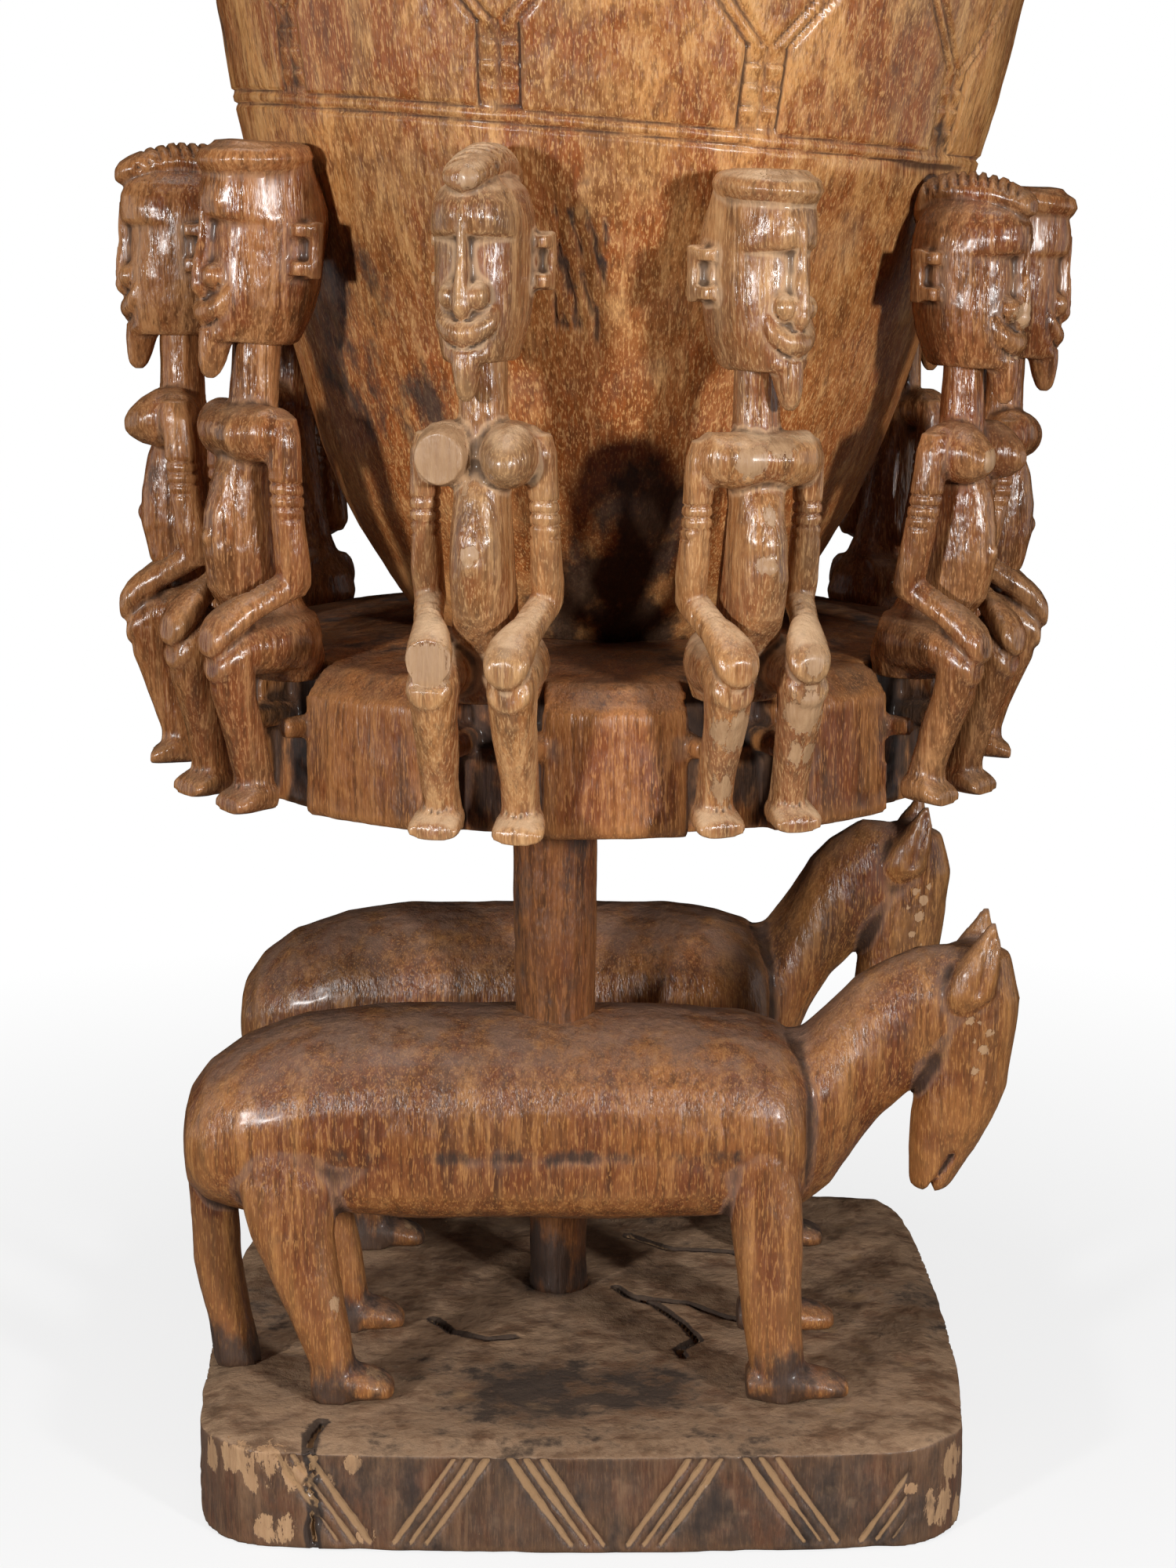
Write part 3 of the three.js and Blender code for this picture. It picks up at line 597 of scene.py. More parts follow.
def horse_shape(name, grain, reach, lift, arch):
    """A horse with its hooves on z = 0.

    Reach and lift move its poll from the front horse's, and arch bends its neck up and back.
    """
    def up_neck(stations):
        moved = []
        for share, x, y, z, wide, deep in stations:
            bend = arch * (1 - share)
            moved.append((x + share * reach - bend, y, z + share * lift + bend * 4 * share, wide, deep))
        return moved

    members = [
        drawn([
            (-151, 0, 92, 15, 9), (-149, 0, 92, 25, 18), (-142, 0, 94, 33, 26), (-128, 0, 97, 38, 33),
            (-106, 0, 101, 41, 37), (-78, 0, 103, 42, 38.5), (-20, 0, 103, 42.5, 39),
            (34, 0, 103, 42, 38.5), (62 - arch, 0, 101.5, 41.4, 37.4), (75 - arch, 0, 99.5, 39.5, 35),
            (80 - arch, 0, 98, 37, 32), (83.5 - arch, 0, 97, 33, 28), (84.5 - arch, 0, 96, 24, 20),
        ], "X", 28, 0.9),
        drawn([
            (-134, 0, 93, 29, 19), (-122, 0, 91, 37.5, 24), (-60, 0, 90.5, 41.6, 26),
            (20, 0, 90.5, 41.6, 26), (66 - arch, 0, 91, 39.6, 25), (78 - arch, 0, 93, 34, 21),
        ], "X", 24, 0.66),
        drawn(up_neck([
            (0, 62, 0, 97, 29, 33), (0, 84, 0, 99, 26, 35), (0.1, 95, 0, 109, 22, 36),
            (0.3, 104, 0, 120, 18.5, 34), (0.5, 113, 0, 129, 16, 30.5), (0.8, 127, 0, 138.5, 14, 27.5),
            (0.95, 138, 0, 143, 13.4, 24), (1, 145, 0, 147, 12, 18),
        ]), "X", 24),
        drawn(up_neck([
            (1, 147, 0, 167, 7, 7), (1, 148.5, 0, 163, 14, 12.5), (1, 148, 0, 146, 18.5, 14),
            (1, 146.4, 0, 128, 18.2, 14), (1, 145, 0, 112, 17.4, 13.4), (1, 141.5, 0, 98, 15.6, 12.4),
            (1, 138, 0, 86, 12.8, 10.8), (1, 134.4, 0, 74, 8.8, 8.6), (1, 133.4, 0, 70.5, 6.4, 7),
        ]), "Z", 20),
        drawn([
            (-140, 0, 106, 8, 9), (-142.5, 0, 94, 9.4, 9.6), (-142, 0, 75, 9.4, 9), (-140.5, 0, 42, 9.2, 9),
            (-136.5, 0, 18, 8.6, 9.2), (-133.5, 0, 0, 9, 9.6),
        ], "Z", 14, 0.85),
    ]
    for side in (-1, 1):
        members += [
            drawn(up_neck([
                (1, 143, 11 * side, 142, 5, 3), (1, 145.5, 13 * side, 150, 9, 5.4),
                (1, 148, 13 * side, 159, 8.6, 5), (1, 151.5, 12 * side, 168, 6, 4),
                (1, 154.5, 11 * side, 177.6, 1.4, 1.4),
            ]), "Z", 14),
            drawn([
                (64, 31 * side, 108, 9, 5), (66.4, 32.4 * side, 92, 13, 8.6),
                (68.6, 33.2 * side, 76, 14, 9.2), (70.4, 34 * side, 50, 12.6, 9.4),
                (72, 35 * side, 28, 11.2, 9.2), (74, foot_aside * side, 10, 10.2, 9),
                (74.5, foot_aside * side, 0, 10.4, 9.6),
            ], "Z", 16, 0.8),
            drawn([
                (62, foot_aside * side, 5.5, 9, 6), (76, foot_aside * side, 6.5, 9.8, 7),
                (87, foot_aside * side, 5.6, 10.2, 6), (95, foot_aside * side, 4.6, 9.4, 4.8),
                (100.5, foot_aside * side, 3.2, 6.4, 3),
            ], "X", 16, 0.9),
            drawn([
                (-104, 30 * side, 112, 12, 5), (-107, 32 * side, 96, 18, 8.4),
                (-109, 33 * side, 82, 19.4, 9.6), (-108, 34 * side, 64, 16, 9.8),
                (-104, 35 * side, 49, 13.2, 9.8), (-99, 36 * side, 33, 10.8, 9.4),
                (-94, 36 * side, 14, 8.6, 9), (-93.5, 36 * side, 0, 9, 9.4),
            ], "Z", 16, 0.8),
            drawn([
                (-102, 36 * side, 5.5, 8.4, 6), (-92, 36 * side, 6.5, 9.6, 7),
                (-82, 36 * side, 5.6, 9.8, 6), (-75, 36 * side, 4.4, 8.6, 4.6),
                (-71, 36 * side, 3, 5.4, 2.8),
            ], "X", 16, 0.9),
        ]
    body = carved(name, members, grain, 3)
    place, _ = surface(body)
    # The mouth is a slit that runs up from the tip of the muzzle.
    low, high = np.array((132.5 + reach, 70 + lift)), np.array((141 + reach, 86 + lift))
    run = high - low
    share = np.clip((place[:, [0, 2]] - low) @ run / (run @ run), 0, 1)
    gap = np.linalg.norm(place[:, [0, 2]] - low - share[:, None] * run, axis=1)
    cut = np.clip(1.4 - 0.8 * gap, 0, 1)
    place[:, 1] *= 1 - 0.3 * cut
    place[:, 2] += 4 * cut * np.clip((76 + lift - place[:, 2]) / 6, 0, 1)
    reshape(body, place)
    toes = []
    for x in (95, -76):
        for side in (-1, 1):
            for toe in (-5, 0, 5):
                low_y = foot_aside * side + toe * 1.1
                toes.append([(x, foot_aside * side + toe, 11), (x + 5, low_y, 6), (x + 5, low_y, 0)])
    chiselled(body, toes, 2.2, 1.2)
    ears = [
        [(149 + reach, 18 * side, 152 + lift), (154 + reach, 15 * side, 172 + lift)] for side in (-1, 1)
    ]
    chiselled(body, ears, 6, 1.8)
    front = 85 - arch
    creases = [
        [(front, 30 * side, 118), (front + 1, 34 * side, 96), (front, 30 * side, 76)] for side in (-1, 1)
    ]
    chiselled(body, creases, 5, 2)
    return body


horse_places = {
    "horse_front": ((0, -horse_aside), 0, 0, 0),
    "horse_rear": ((3, horse_aside), -10, 11, 7),
}
for node, ((x, y), reach, lift, arch) in horse_places.items():
    horse = horse_shape("carved_" + node, 1.6, reach, lift, arch)
    horse.data.transform(Matrix.Translation((x * mm, y * mm, (plinth_top + seam) * mm)))
    hand_cut(horse, 30, 0.8, node + "_adzed")
    hand_cut(horse, 9, 0.22, node + "_knifed")
    feet = [
        (x + leg, y + foot_aside * side, plinth_top + 2, 18, 1) for leg in (73, -95) for side in (-1, 1)
    ]
    feet += [
        (x + toe, y + foot_aside * side, plinth_top, 14, 0.75) for toe in (90, -80) for side in (-1, 1)
    ]
    belly_line = [
        (x + along, y + 41 * side, plinth_top + 96, 3.2, 0.55)
        for along in range(-88, 62, 5) for side in (-1, 1)
    ]
    tail_tip = [(x - 134, y, plinth_top, 18)]
    face_chips = [
        (156, -11, 142, 1.8), (154, -13, 136, 2), (152, -13, 129, 2.4), (149, -13, 121, 1.6),
        (153, -11, 116, 1.5), (158, -9, 150, 1.6), (147, -13, 133, 1.5), (150, -13, 140, 1.6),
        (144, -10, 106, 1.5), (146, -15, 141, 2.4),
    ]
    leg_chips = [(-78, -38, 8, 5), (94, -38, 7, 4), (-90, -45, 40, 4)]
    worn = [(x + reach + cx, y + cy, plinth_top + lift + cz, size) for cx, cy, cz, size in face_chips]
    worn += [(x + cx, y + cy, plinth_top + cz, size) for cx, cy, cz, size in leg_chips]
    weathered_and_shaded(horse, worn, char_and_painted_shade=feet + belly_line + tail_tip)
    horse.data.materials.append(oiled_wood)
    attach(horse, "vessel")
    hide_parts(node)


# Disc: the thick round seat of the ring of figures, with a sloping edge. Behind each pair of legs a
# stepped recess is cut into its wall, and two stubs of wood run from the recess to the calves. The
# recesses and the top between each figure and the bowl's foot are darkened with painted shade.
disc_middle_x = 5
disc_radius = 147
disc_shoulder = 314.5
seats = [-14, 19.7, 54, 90, 126, 162, 198, 234, 270, 307]

disc_rings = [
    (disc_bottom, 145.4), (disc_bottom + 1.5, 147), (disc_bottom + 44, 146.6), (disc_bottom + 46.5, 145.6),
    (disc_shoulder - 1, 139), (disc_shoulder + 0.6, 136), (disc_shoulder + 5, 92),
    (disc_shoulder + 5.4, 60),
]
seat_disc = drawn([(disc_middle_x, 0, z, r, r) for z, r in disc_rings], "Z", 96)


def at_seat(azimuth):
    """Turns what is made at the disc's front to its place round the disc."""
    return Matrix.Translation((disc_middle_x * mm, 0, 0)) @ Matrix.Rotation(math.radians(azimuth), 4, "Z")


def chip_out(body, middle, size, azimuth):
    """Cuts a square-cornered recess, given in the seat's own directions, out of a body."""
    bpy.ops.object.select_all(action="DESELECT")
    bpy.ops.mesh.primitive_cube_add(size=mm, location=Vector(middle) * mm)
    chip = bpy.context.object
    chip.scale = size
    bpy.ops.object.transform_apply(location=True, rotation=True, scale=True)
    chip.data.transform(at_seat(azimuth))
    applied(body, "BOOLEAN", object=chip, operation="DIFFERENCE", solver="EXACT")
    bpy.data.objects.remove(chip)


# Each recess is deeper, and a little narrower, from 30 mm up.
for azimuth in seats:
    chip_out(seat_disc, (0, -disc_radius - 11, disc_bottom + 20), (33, 40, 60), azimuth)
    chip_out(seat_disc, (0, -disc_radius - 5, disc_bottom + 50), (31, 40, 40), azimuth)
stubs = []
for azimuth in seats:
    for side in (-1, 1):
        stub = drawn([(14 * side, -130, 293, 4.4, 5), (14 * side, -154, 293, 3.8, 4.2)], "Y", 10)
        stub.data.transform(at_seat(azimuth))
        stubs.append(stub)
seat_disc = carved("carved_disc", [seat_disc] + stubs, 1.55, 1)
hand_cut(seat_disc, 34, 0.9, "disc_adzed")
hand_cut(seat_disc, 8, 0.25, "disc_knifed")
# Each spot of painted shade has its distance from the disc's middle, its height, its reach and its
# strength.
painted_shade_spots = [
    (134, disc_bottom + 18, 15, 0.85),
    (138, disc_bottom + 34, 15, 0.85),
    (136, disc_bottom + 48, 15, 0.85),
    (104, disc_shoulder + 4, 20, 0.5),
]
painted_shade_marks = []
for azimuth in seats:
    turn = math.radians(azimuth)
    for out, height, size, strength in painted_shade_spots:
        x, y = disc_middle_x + out * math.sin(turn), -out * math.cos(turn)
        painted_shade_marks.append((x, y, height, size, strength))
weathered_and_shaded(seat_disc, worn=[(60, -132, 306, 6, 0.9), (-40, -138, 305, 5, 0.9)], char_and_painted_shade=painted_shade_marks)
disc_wood = old_wood(
    "disc_wood", srgb(206, 142, 84), srgb(166, 103, 55), srgb(132, 69, 32), srgb(74, 43, 24),
    srgb(120, 98, 78), gloss=0.34, dustiness=0.5, flecks=0.6,
)
seat_disc.data.materials.append(disc_wood)
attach(seat_disc, "vessel")
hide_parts("figure_disc")


# Bowl: a deep bowl that leans a little, hewn round by eye and hollowed with an adze. A band of two
# incised lines runs round it, ten ladders of small stepped blocks stand on the band, and double lines
# zigzag above them.
bowl_foot, bowl_lean = (3.5 * mm, 0, 320.3 * mm), math.radians(2.4)
bowl_place = Matrix.Translation(bowl_foot) @ Matrix.Rotation(bowl_lean, 4, "Y")
bowl_outline = [
    (0, 70), (4, 73), (9, 77), (15, 81.5), (24, 87), (34, 93), (48, 101), (66, 109), (91, 117),
    (120, 125.5), (150, 133.5), (180, 141.4), (204, 147), (228, 152), (262, 158.2), (276, 160.8),
    (279, 160.6), (280, 159),
]
bowl_hollow = [
    (280, 152), (279, 150.4), (266, 149.5), (230, 143), (193, 133), (140, 120), (101, 105), (70, 94),
    (46, 78), (33, 60), (30, 40), (30, 1),
]


def bowl_radius(height):
    heights = [h for h, _ in bowl_outline]
    radii = [r for _, r in bowl_outline]
    return float(np.interp(height, heights, radii))


# The rings lie closest where the band and the ladders are cut.
bowl_around = 640
carving_foot, carving_top = 180, 228
bowl_rings = []
for (low, low_radius), (high, high_radius) in zip(bowl_outline, bowl_outline[1:]):
    if low >= carving_top:
        pitch = 1.9
    elif low >= carving_foot:
        pitch = 0.95
    else:
        pitch = 4.4
    count = max(1, round((high - low) / pitch))
    for step in range(count):
        share = step / count
        bowl_rings.append((low + share * (high - low), low_radius + share * (high_radius - low_radius)))
bowl_profile = [(0.5, 0)] + [(r, h) for h, r in bowl_rings] + [(r, h) for h, r in bowl_hollow]
bpy.ops.object.select_all(action="DESELECT")
bpy.ops.mesh.primitive_plane_add(size=mm)
bowl = bpy.context.object
bpy.ops.object.mode_set(mode="EDIT")
bpy.ops.mesh.select_all(action="SELECT")
bpy.ops.mesh.delete(type="VERT")
bpy.ops.object.mode_set(mode="OBJECT")
bowl.data.vertices.add(len(bowl_profile))
bowl.data.edges.add(len(bowl_profile) - 1)
for index, (radius, height) in enumerate(bowl_profile):
    bowl.data.vertices[index].co = (radius * mm, 0, height * mm)
for index in range(len(bowl_profile) - 1):
    bowl.data.edges[index].vertices = (index, index + 1)
bowl.data.update()
bpy.ops.object.mode_set(mode="EDIT")
bpy.ops.mesh.select_all(action="SELECT")
bpy.ops.mesh.spin(steps=bowl_around, angle=2 * math.pi, center=(0, 0, 0), axis=(0, 0, 1))
bpy.ops.mesh.select_all(action="SELECT")
bpy.ops.mesh.remove_doubles(threshold=0.01 * mm)
bpy.ops.mesh.select_all(action="SELECT")
bpy.ops.mesh.fill_holes(sides=0)
bpy.ops.mesh.normals_make_consistent(inside=False)
bpy.ops.object.mode_set(mode="OBJECT")
bpy.ops.object.shade_smooth()
bowl.name = "carved_bowl"
bowl.data.name = "carved_bowl"

# The columns of points are drawn together where the ladders stand.
ladders = [-52 + 36 * step for step in range(10)]
crowding = 0.032
place, _ = surface(bowl)
turned = np.arctan2(place[:, 0], -place[:, 1])
drawn_in = turned - crowding * np.sin(10 * (turned - math.radians(ladders[0])))
reach = np.hypot(place[:, 0], place[:, 1])
place[:, 0] = reach * np.sin(drawn_in)
place[:, 1] = -reach * np.cos(drawn_in)
reshape(bowl, place)


def on_bowl(azimuth, height):
    """A point on the bowl's outside, at an angle from the front and a height over its foot."""
    turn = math.radians(azimuth)
    radius = bowl_radius(height)
    return (radius * math.sin(turn), -radius * math.cos(turn), height)


band_middle, band_tilt = 185.5, 7


def band_height(azimuth):
    return band_middle - band_tilt * np.sin(np.radians(azimuth))


def once_placed(azimuth, height):
    """The same point when the bowl leans on the disc, still in mm."""
    return tuple(bowl_place @ (Vector(on_bowl(azimuth, height)) * mm) / mm)


def plateau(distance, half, slope=0.5):
    """1 within the half width and 0 outside, with a short slope between them."""
    return np.clip((half - np.abs(distance)) / slope + 0.5, 0, 1)


hand_cut(bowl, 40, 1.0, "bowl_adzed")
hand_cut(bowl, 13, 0.3, "bowl_knifed")
round_the_bowl = [a * 6 for a in range(61)]
band_lines = [[on_bowl(a, band_height(a) + offset) for a in round_the_bowl] for offset in (0, 4.6)]
chiselled(bowl, band_lines, 2.4, 1.4)
zigzags = []
zigzag_foot, rise_per_degree, half_spacing = 34.5, 3.05, 18
quarters = (0, 0.25, 0.5, 0.75, 1)
for middle in ladders:
    foot = band_height(middle) + zigzag_foot
    for side in (-1, 1):
        for start in (3.1, 0.9):
            run = half_spacing - start
            zigzags.append([
                on_bowl(middle + side * (start + run * share), foot + rise_per_degree * run * share)
                for share in quarters
            ])
chiselled(bowl, zigzags, 2.8, 1.4)
# Short cracks lie scattered beside the first figure's head.
drying_cracks, crack_spots = [], []
for step in range(16):
    azimuth = -8.4 + (step * 37 % 80) / 10
    top = 160 - step * 53 % 44
    length = 3 + step * 29 % 9
    drying_cracks.append([on_bowl(azimuth, top), on_bowl(azimuth + 0.5, top - length)])
    crack_spots += [(azimuth + 0.5 * share, top - length * share) for share in (0, 0.33, 0.67, 1)]
chiselled(bowl, drying_cracks, 1.9, 1.7)
place, outward = surface(bowl)
turned = np.degrees(np.arctan2(place[:, 0], -place[:, 1]))
height = place[:, 2] - band_height(turned)
reach = np.hypot(place[:, 0], place[:, 1])
outside = (outward[:, 0] * place[:, 0] + outward[:, 1] * place[:, 1]) > 0
ladder_foot, ladder_head, ladder_half = 5.4, 34.2, 8.2
step_height = (ladder_head - ladder_foot) / 4
ladder_middle = (ladder_foot + ladder_head) / 2
for middle in ladders:
    aside = np.radians((turned - middle + 180) % 360 - 180) * reach
    panel = plateau(aside, ladder_half) * plateau(height - ladder_middle, 2 * step_height)
    slope = ((ladder_head - height) / step_height) % 1
    grooves = np.maximum.reduce([plateau(aside - line, 0.7, 0.9) for line in (-7.4, 0, 7.4)])
    cut = panel * np.maximum(0.3 + 1.4 * slope, 2.2 * grooves) * outside
    place -= outward * cut[:, None]
reshape(bowl, place)
bowl.data.transform(bowl_place)
# Dark patches on the bowl's left side, beside the tenth figure.
left_dark_patches = [(-52, 96), (-46, 122), (-60, 140), (-36, 84)]
# Painted shadow: these spots darken the bowl's foot where both front lamps' shadows of the first two
# figures overlap.
painted_foot_shadow = [(-4, 6), (14, 6), (3, 26), (12, 34), (9, 54)]
ladder_soot = [(middle, band_height(middle) + up) for middle in ladders for up in (12, 27)]
char_and_painted_shade = [(-146, -30, 545, 16)]
for spots, size, strength in (
    (crack_spots, 1.6, 0.8), (ladder_soot, 9, 0.45), (left_dark_patches, 24, 0.55), (painted_foot_shadow, 20, 0.9)
):
    char_and_painted_shade += [(*once_placed(*spot), size, strength) for spot in spots]
weathered_and_shaded(bowl, char_and_painted_shade=char_and_painted_shade, spread=12)
bowl_wood = old_wood(
    "bowl_wood", srgb(240, 185, 120), srgb(214, 149, 84), srgb(154, 80, 29), srgb(104, 58, 28),
    srgb(142, 112, 86), gloss=0.36, dustiness=0.35, flecks=0.5, darker_below=(0.38, 0.52),
)
bowl.data.materials.append(bowl_wood)
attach(bowl, "vessel")
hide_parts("bowl")


# Figures: ten seated people, women and men by turns, with hands on knees and feet hanging before the
# disc. One woman and one man are carved, copied round the ring, and each copy is finished one by one.
figure_wood = old_wood(
    "figure_wood", srgb(214, 156, 102), srgb(168, 107, 60), srgb(128, 67, 33), srgb(76, 45, 26),
    srgb(162, 128, 98), gloss=0.2, dustiness=0.5, flecks=0.45,
)
handled_wood = old_wood(
    "handled_wood", srgb(232, 182, 126), srgb(180, 120, 68), srgb(138, 76, 37), srgb(86, 52, 30),
    srgb(222, 184, 144), gloss=0.2, dustiness=1, flecks=0.45,
)


def both_sides(stations, facing="Z", sides=14, roundness=1):
    """The same member on the figure's left and right."""
    mirrored = [(-x, y, z, wide, deep) for x, y, z, wide, deep in stations]
    return [drawn(stations, facing, sides, roundness), drawn(mirrored, facing, sides, roundness)]


def ring(middle, radius, thickness, turn=(0, 0, 0)):
    bpy.ops.object.select_all(action="DESELECT")
    bpy.ops.mesh.primitive_torus_add(
        location=Vector(middle) * mm, rotation=turn, major_radius=radius * mm,
        minor_radius=thickness * mm, major_segments=24, minor_segments=8,
    )
    return bpy.context.object


def lump(middle, size):
    bpy.ops.object.select_all(action="DESELECT")
    bpy.ops.mesh.primitive_uv_sphere_add(
        segments=20, ring_count=12, radius=mm, location=Vector(middle) * mm, scale=size
    )
    return bpy.context.object


def slab_of(middle, size):
    bpy.ops.object.select_all(action="DESELECT")
    bpy.ops.mesh.primitive_cube_add(size=mm, location=Vector(middle) * mm, scale=size)
    bpy.ops.object.transform_apply(location=True, rotation=True, scale=True)
    bpy.ops.object.mode_set(mode="EDIT")
    bpy.ops.mesh.bevel(offset=0.5 * mm, segments=1)
    bpy.ops.object.mode_set(mode="OBJECT")
    return bpy.context.object


def row_of_lumps(points, thickness, taper):
    """A curved ridge of overlapping lumps, thickest in the middle and thinner by the taper at its ends."""
    lumps = []
    for index, middle in enumerate(points):
        share = abs(2 * index / (len(points) - 1) - 1)
        half = thickness * (1 - taper * share ** 2)
        lumps.append(lump(middle, (half, half, half)))
    return lumps


def figure_body(name, woman):
    members = [
        drawn([
            (0, 3, -5, 15, 13), (0, 4, 4, 18, 15.5), (0, 6, 12, 17, 15.5), (0, 11, 20, 12.4, 16),
            (0, 16, 28, 10.4, 17.5), (0, 19.4, 42, 10.6, 17), (0, 20.5, 55, 10, 15.6),
            (0, 20.5, 68, 9.4, 12.8), (0, 19.5, 82, 11, 8.5), (0, 19.5, 90, 9.4, 8),
        ], "Z", 24, 0.85),
        drawn([
            (0, 19.5, 82, 10, 10), (0, 19.5, 92, 9, 9), (0, 19.5, 104, 8.6, 8.6), (0, 19.5, 128, 8.6, 8.6),
        ], "Z", 10),
    ]
    members += both_sides([
        (8, -4, 10, 9, 11), (9.5, 3, 9, 10.6, 12), (11.5, 13, 9, 10.4, 11), (13, 23, 8.5, 9.4, 10),
        (14, 32, 6.5, 9.2, 9), (14.4, 38, 3, 8, 7), (14.4, 40.5, 1.5, 5.5, 4.4),
    ], "Y", 16)
    members += both_sides([
        (14, 32, 10, 7.6, 6.6), (14.2, 32, 3, 9, 8), (14.2, 30.5, -8, 8, 8), (14.2, 27, -18, 7.4, 7.8),
        (14.4, 23.5, -29, 6.8, 7.2), (14.5, 21, -38, 6.8, 7.2), (14.6, 20.5, -45, 7.6, 8.2),
        (14.6, 20.5, -48.5, 7.6, 8.4),
    ], "Z", 14, 0.9)
    members += both_sides([
        (14.6, 13, -45.5, 6.4, 5), (14.7, 18.5, -44.4, 8, 6.4), (14.9, 24, -45.4, 9.2, 5.6),
        (15.1, 29, -47, 9.7, 4), (15.2, 31.6, -48, 8.8, 2.8),
    ], "Y", 16, 0.85)
    members += both_sides([
        (20, 19.5, 91, 4, 5), (20.8, 19.2, 84, 5.2, 6), (21.2, 18, 70, 5.3, 6), (21.4, 16, 54, 5.3, 6),
        (21.6, 13.5, 40, 5.7, 6.4), (21.4, 12, 32, 5.4, 6), (21.2, 12, 27.5, 3.4, 4),
    ], "Z", 14, 0.85)
    members += both_sides([
        (21.4, 7.5, 33.5, 3.8, 4.4), (21, 12, 32.5, 5.7, 6), (19.6, 19, 28.5, 5.7, 5.8),
        (17.6, 26, 24, 5.8, 5.8), (15.6, 31, 20.5, 7.4, 6.8), (14.2, 36, 16.5, 8.4, 7.4),
        (13.8, 40, 13, 8.2, 7.2), (13.6, 43, 10.5, 6, 5),
    ], "Y", 16, 0.9)
    if woman:
        members.append(drawn([
            (-24, 19.5, 84, 5, 5), (-18, 20, 85.5, 8, 8.4), (0, 20, 85.5, 8.5, 8), (18, 20, 85.5, 8, 8.4),
            (24, 19.5, 84, 5, 5),
        ], "X", 16))
        members += both_sides([
            (11, 18, 84, 10.2, 11.2), (11.3, 28, 83.5, 10.4, 11.4), (11.8, 34, 82.6, 8.6, 9.2),
            (12.1, 38.6, 81.6, 5, 5.4), (12.2, 40.6, 81, 2.2, 2.4),
        ], "Y", 18)
    else:
        members.append(drawn([
            (-24, 19.5, 84, 5, 5.4), (-19, 21.5, 84.5, 9.8, 9.6), (-9, 23.8, 83.6, 12.4, 10.4),
            (0, 24.2, 84, 12.4, 9.4), (9, 23.8, 83.6, 12.4, 10.4), (19, 21.5, 84.5, 9.8, 9.6),
            (24, 19.5, 84, 5, 5.4),
        ], "X", 18))
    members.append(lump((0, 36, 46), (2.6, 1.8, 3)))
    body = carved(name, members, 1.05, 2)
    bands, fingers, wrists, toes = [], [], [], []
    for side in (-1, 1):
        for height in (55.5, 59.5, 63.5, 67.5):
            middle = (21.3 * side, 17.3, height)
            around = [(math.cos(math.radians(a)), math.sin(math.radians(a))) for a in range(0, 361, 30)]
            bands.append([(middle[0] + 5.4 * c, middle[1] + 6.2 * s, height) for c, s in around])
        for spread in (-5, -1.7, 1.7, 5):
            x = 14 * side + spread
            fingers.append([(x, 34, 27), (x, 40, 22.5), (x, 44, 15), (x, 44, 5)])
        for spread in (-4.5, -1.5, 1.5, 4.5):
            x = 15 * side + spread
            toes.append([(x, 27, -40), (x * 1.01, 31, -43.5), (x * 1.02, 34, -50)])
        for y in (22, 24.4, 26.8):
            wrist = [(-7, -2), (-5, 4.4), (0, 6.2), (5, 4.4), (7, -2), (5, -6)]
            wrists.append([((25 - 0.28 * y) * side + dx, y, 40.8 - 0.64 * y + dz) for dx, dz in wrist])
    chiselled(body, bands, 1.8, 0.9)
    chiselled(body, fingers, 1.7, 1)
    chiselled(body, wrists, 1.5, 0.6)
    chiselled(body, toes, 1.8, 1)
    return body


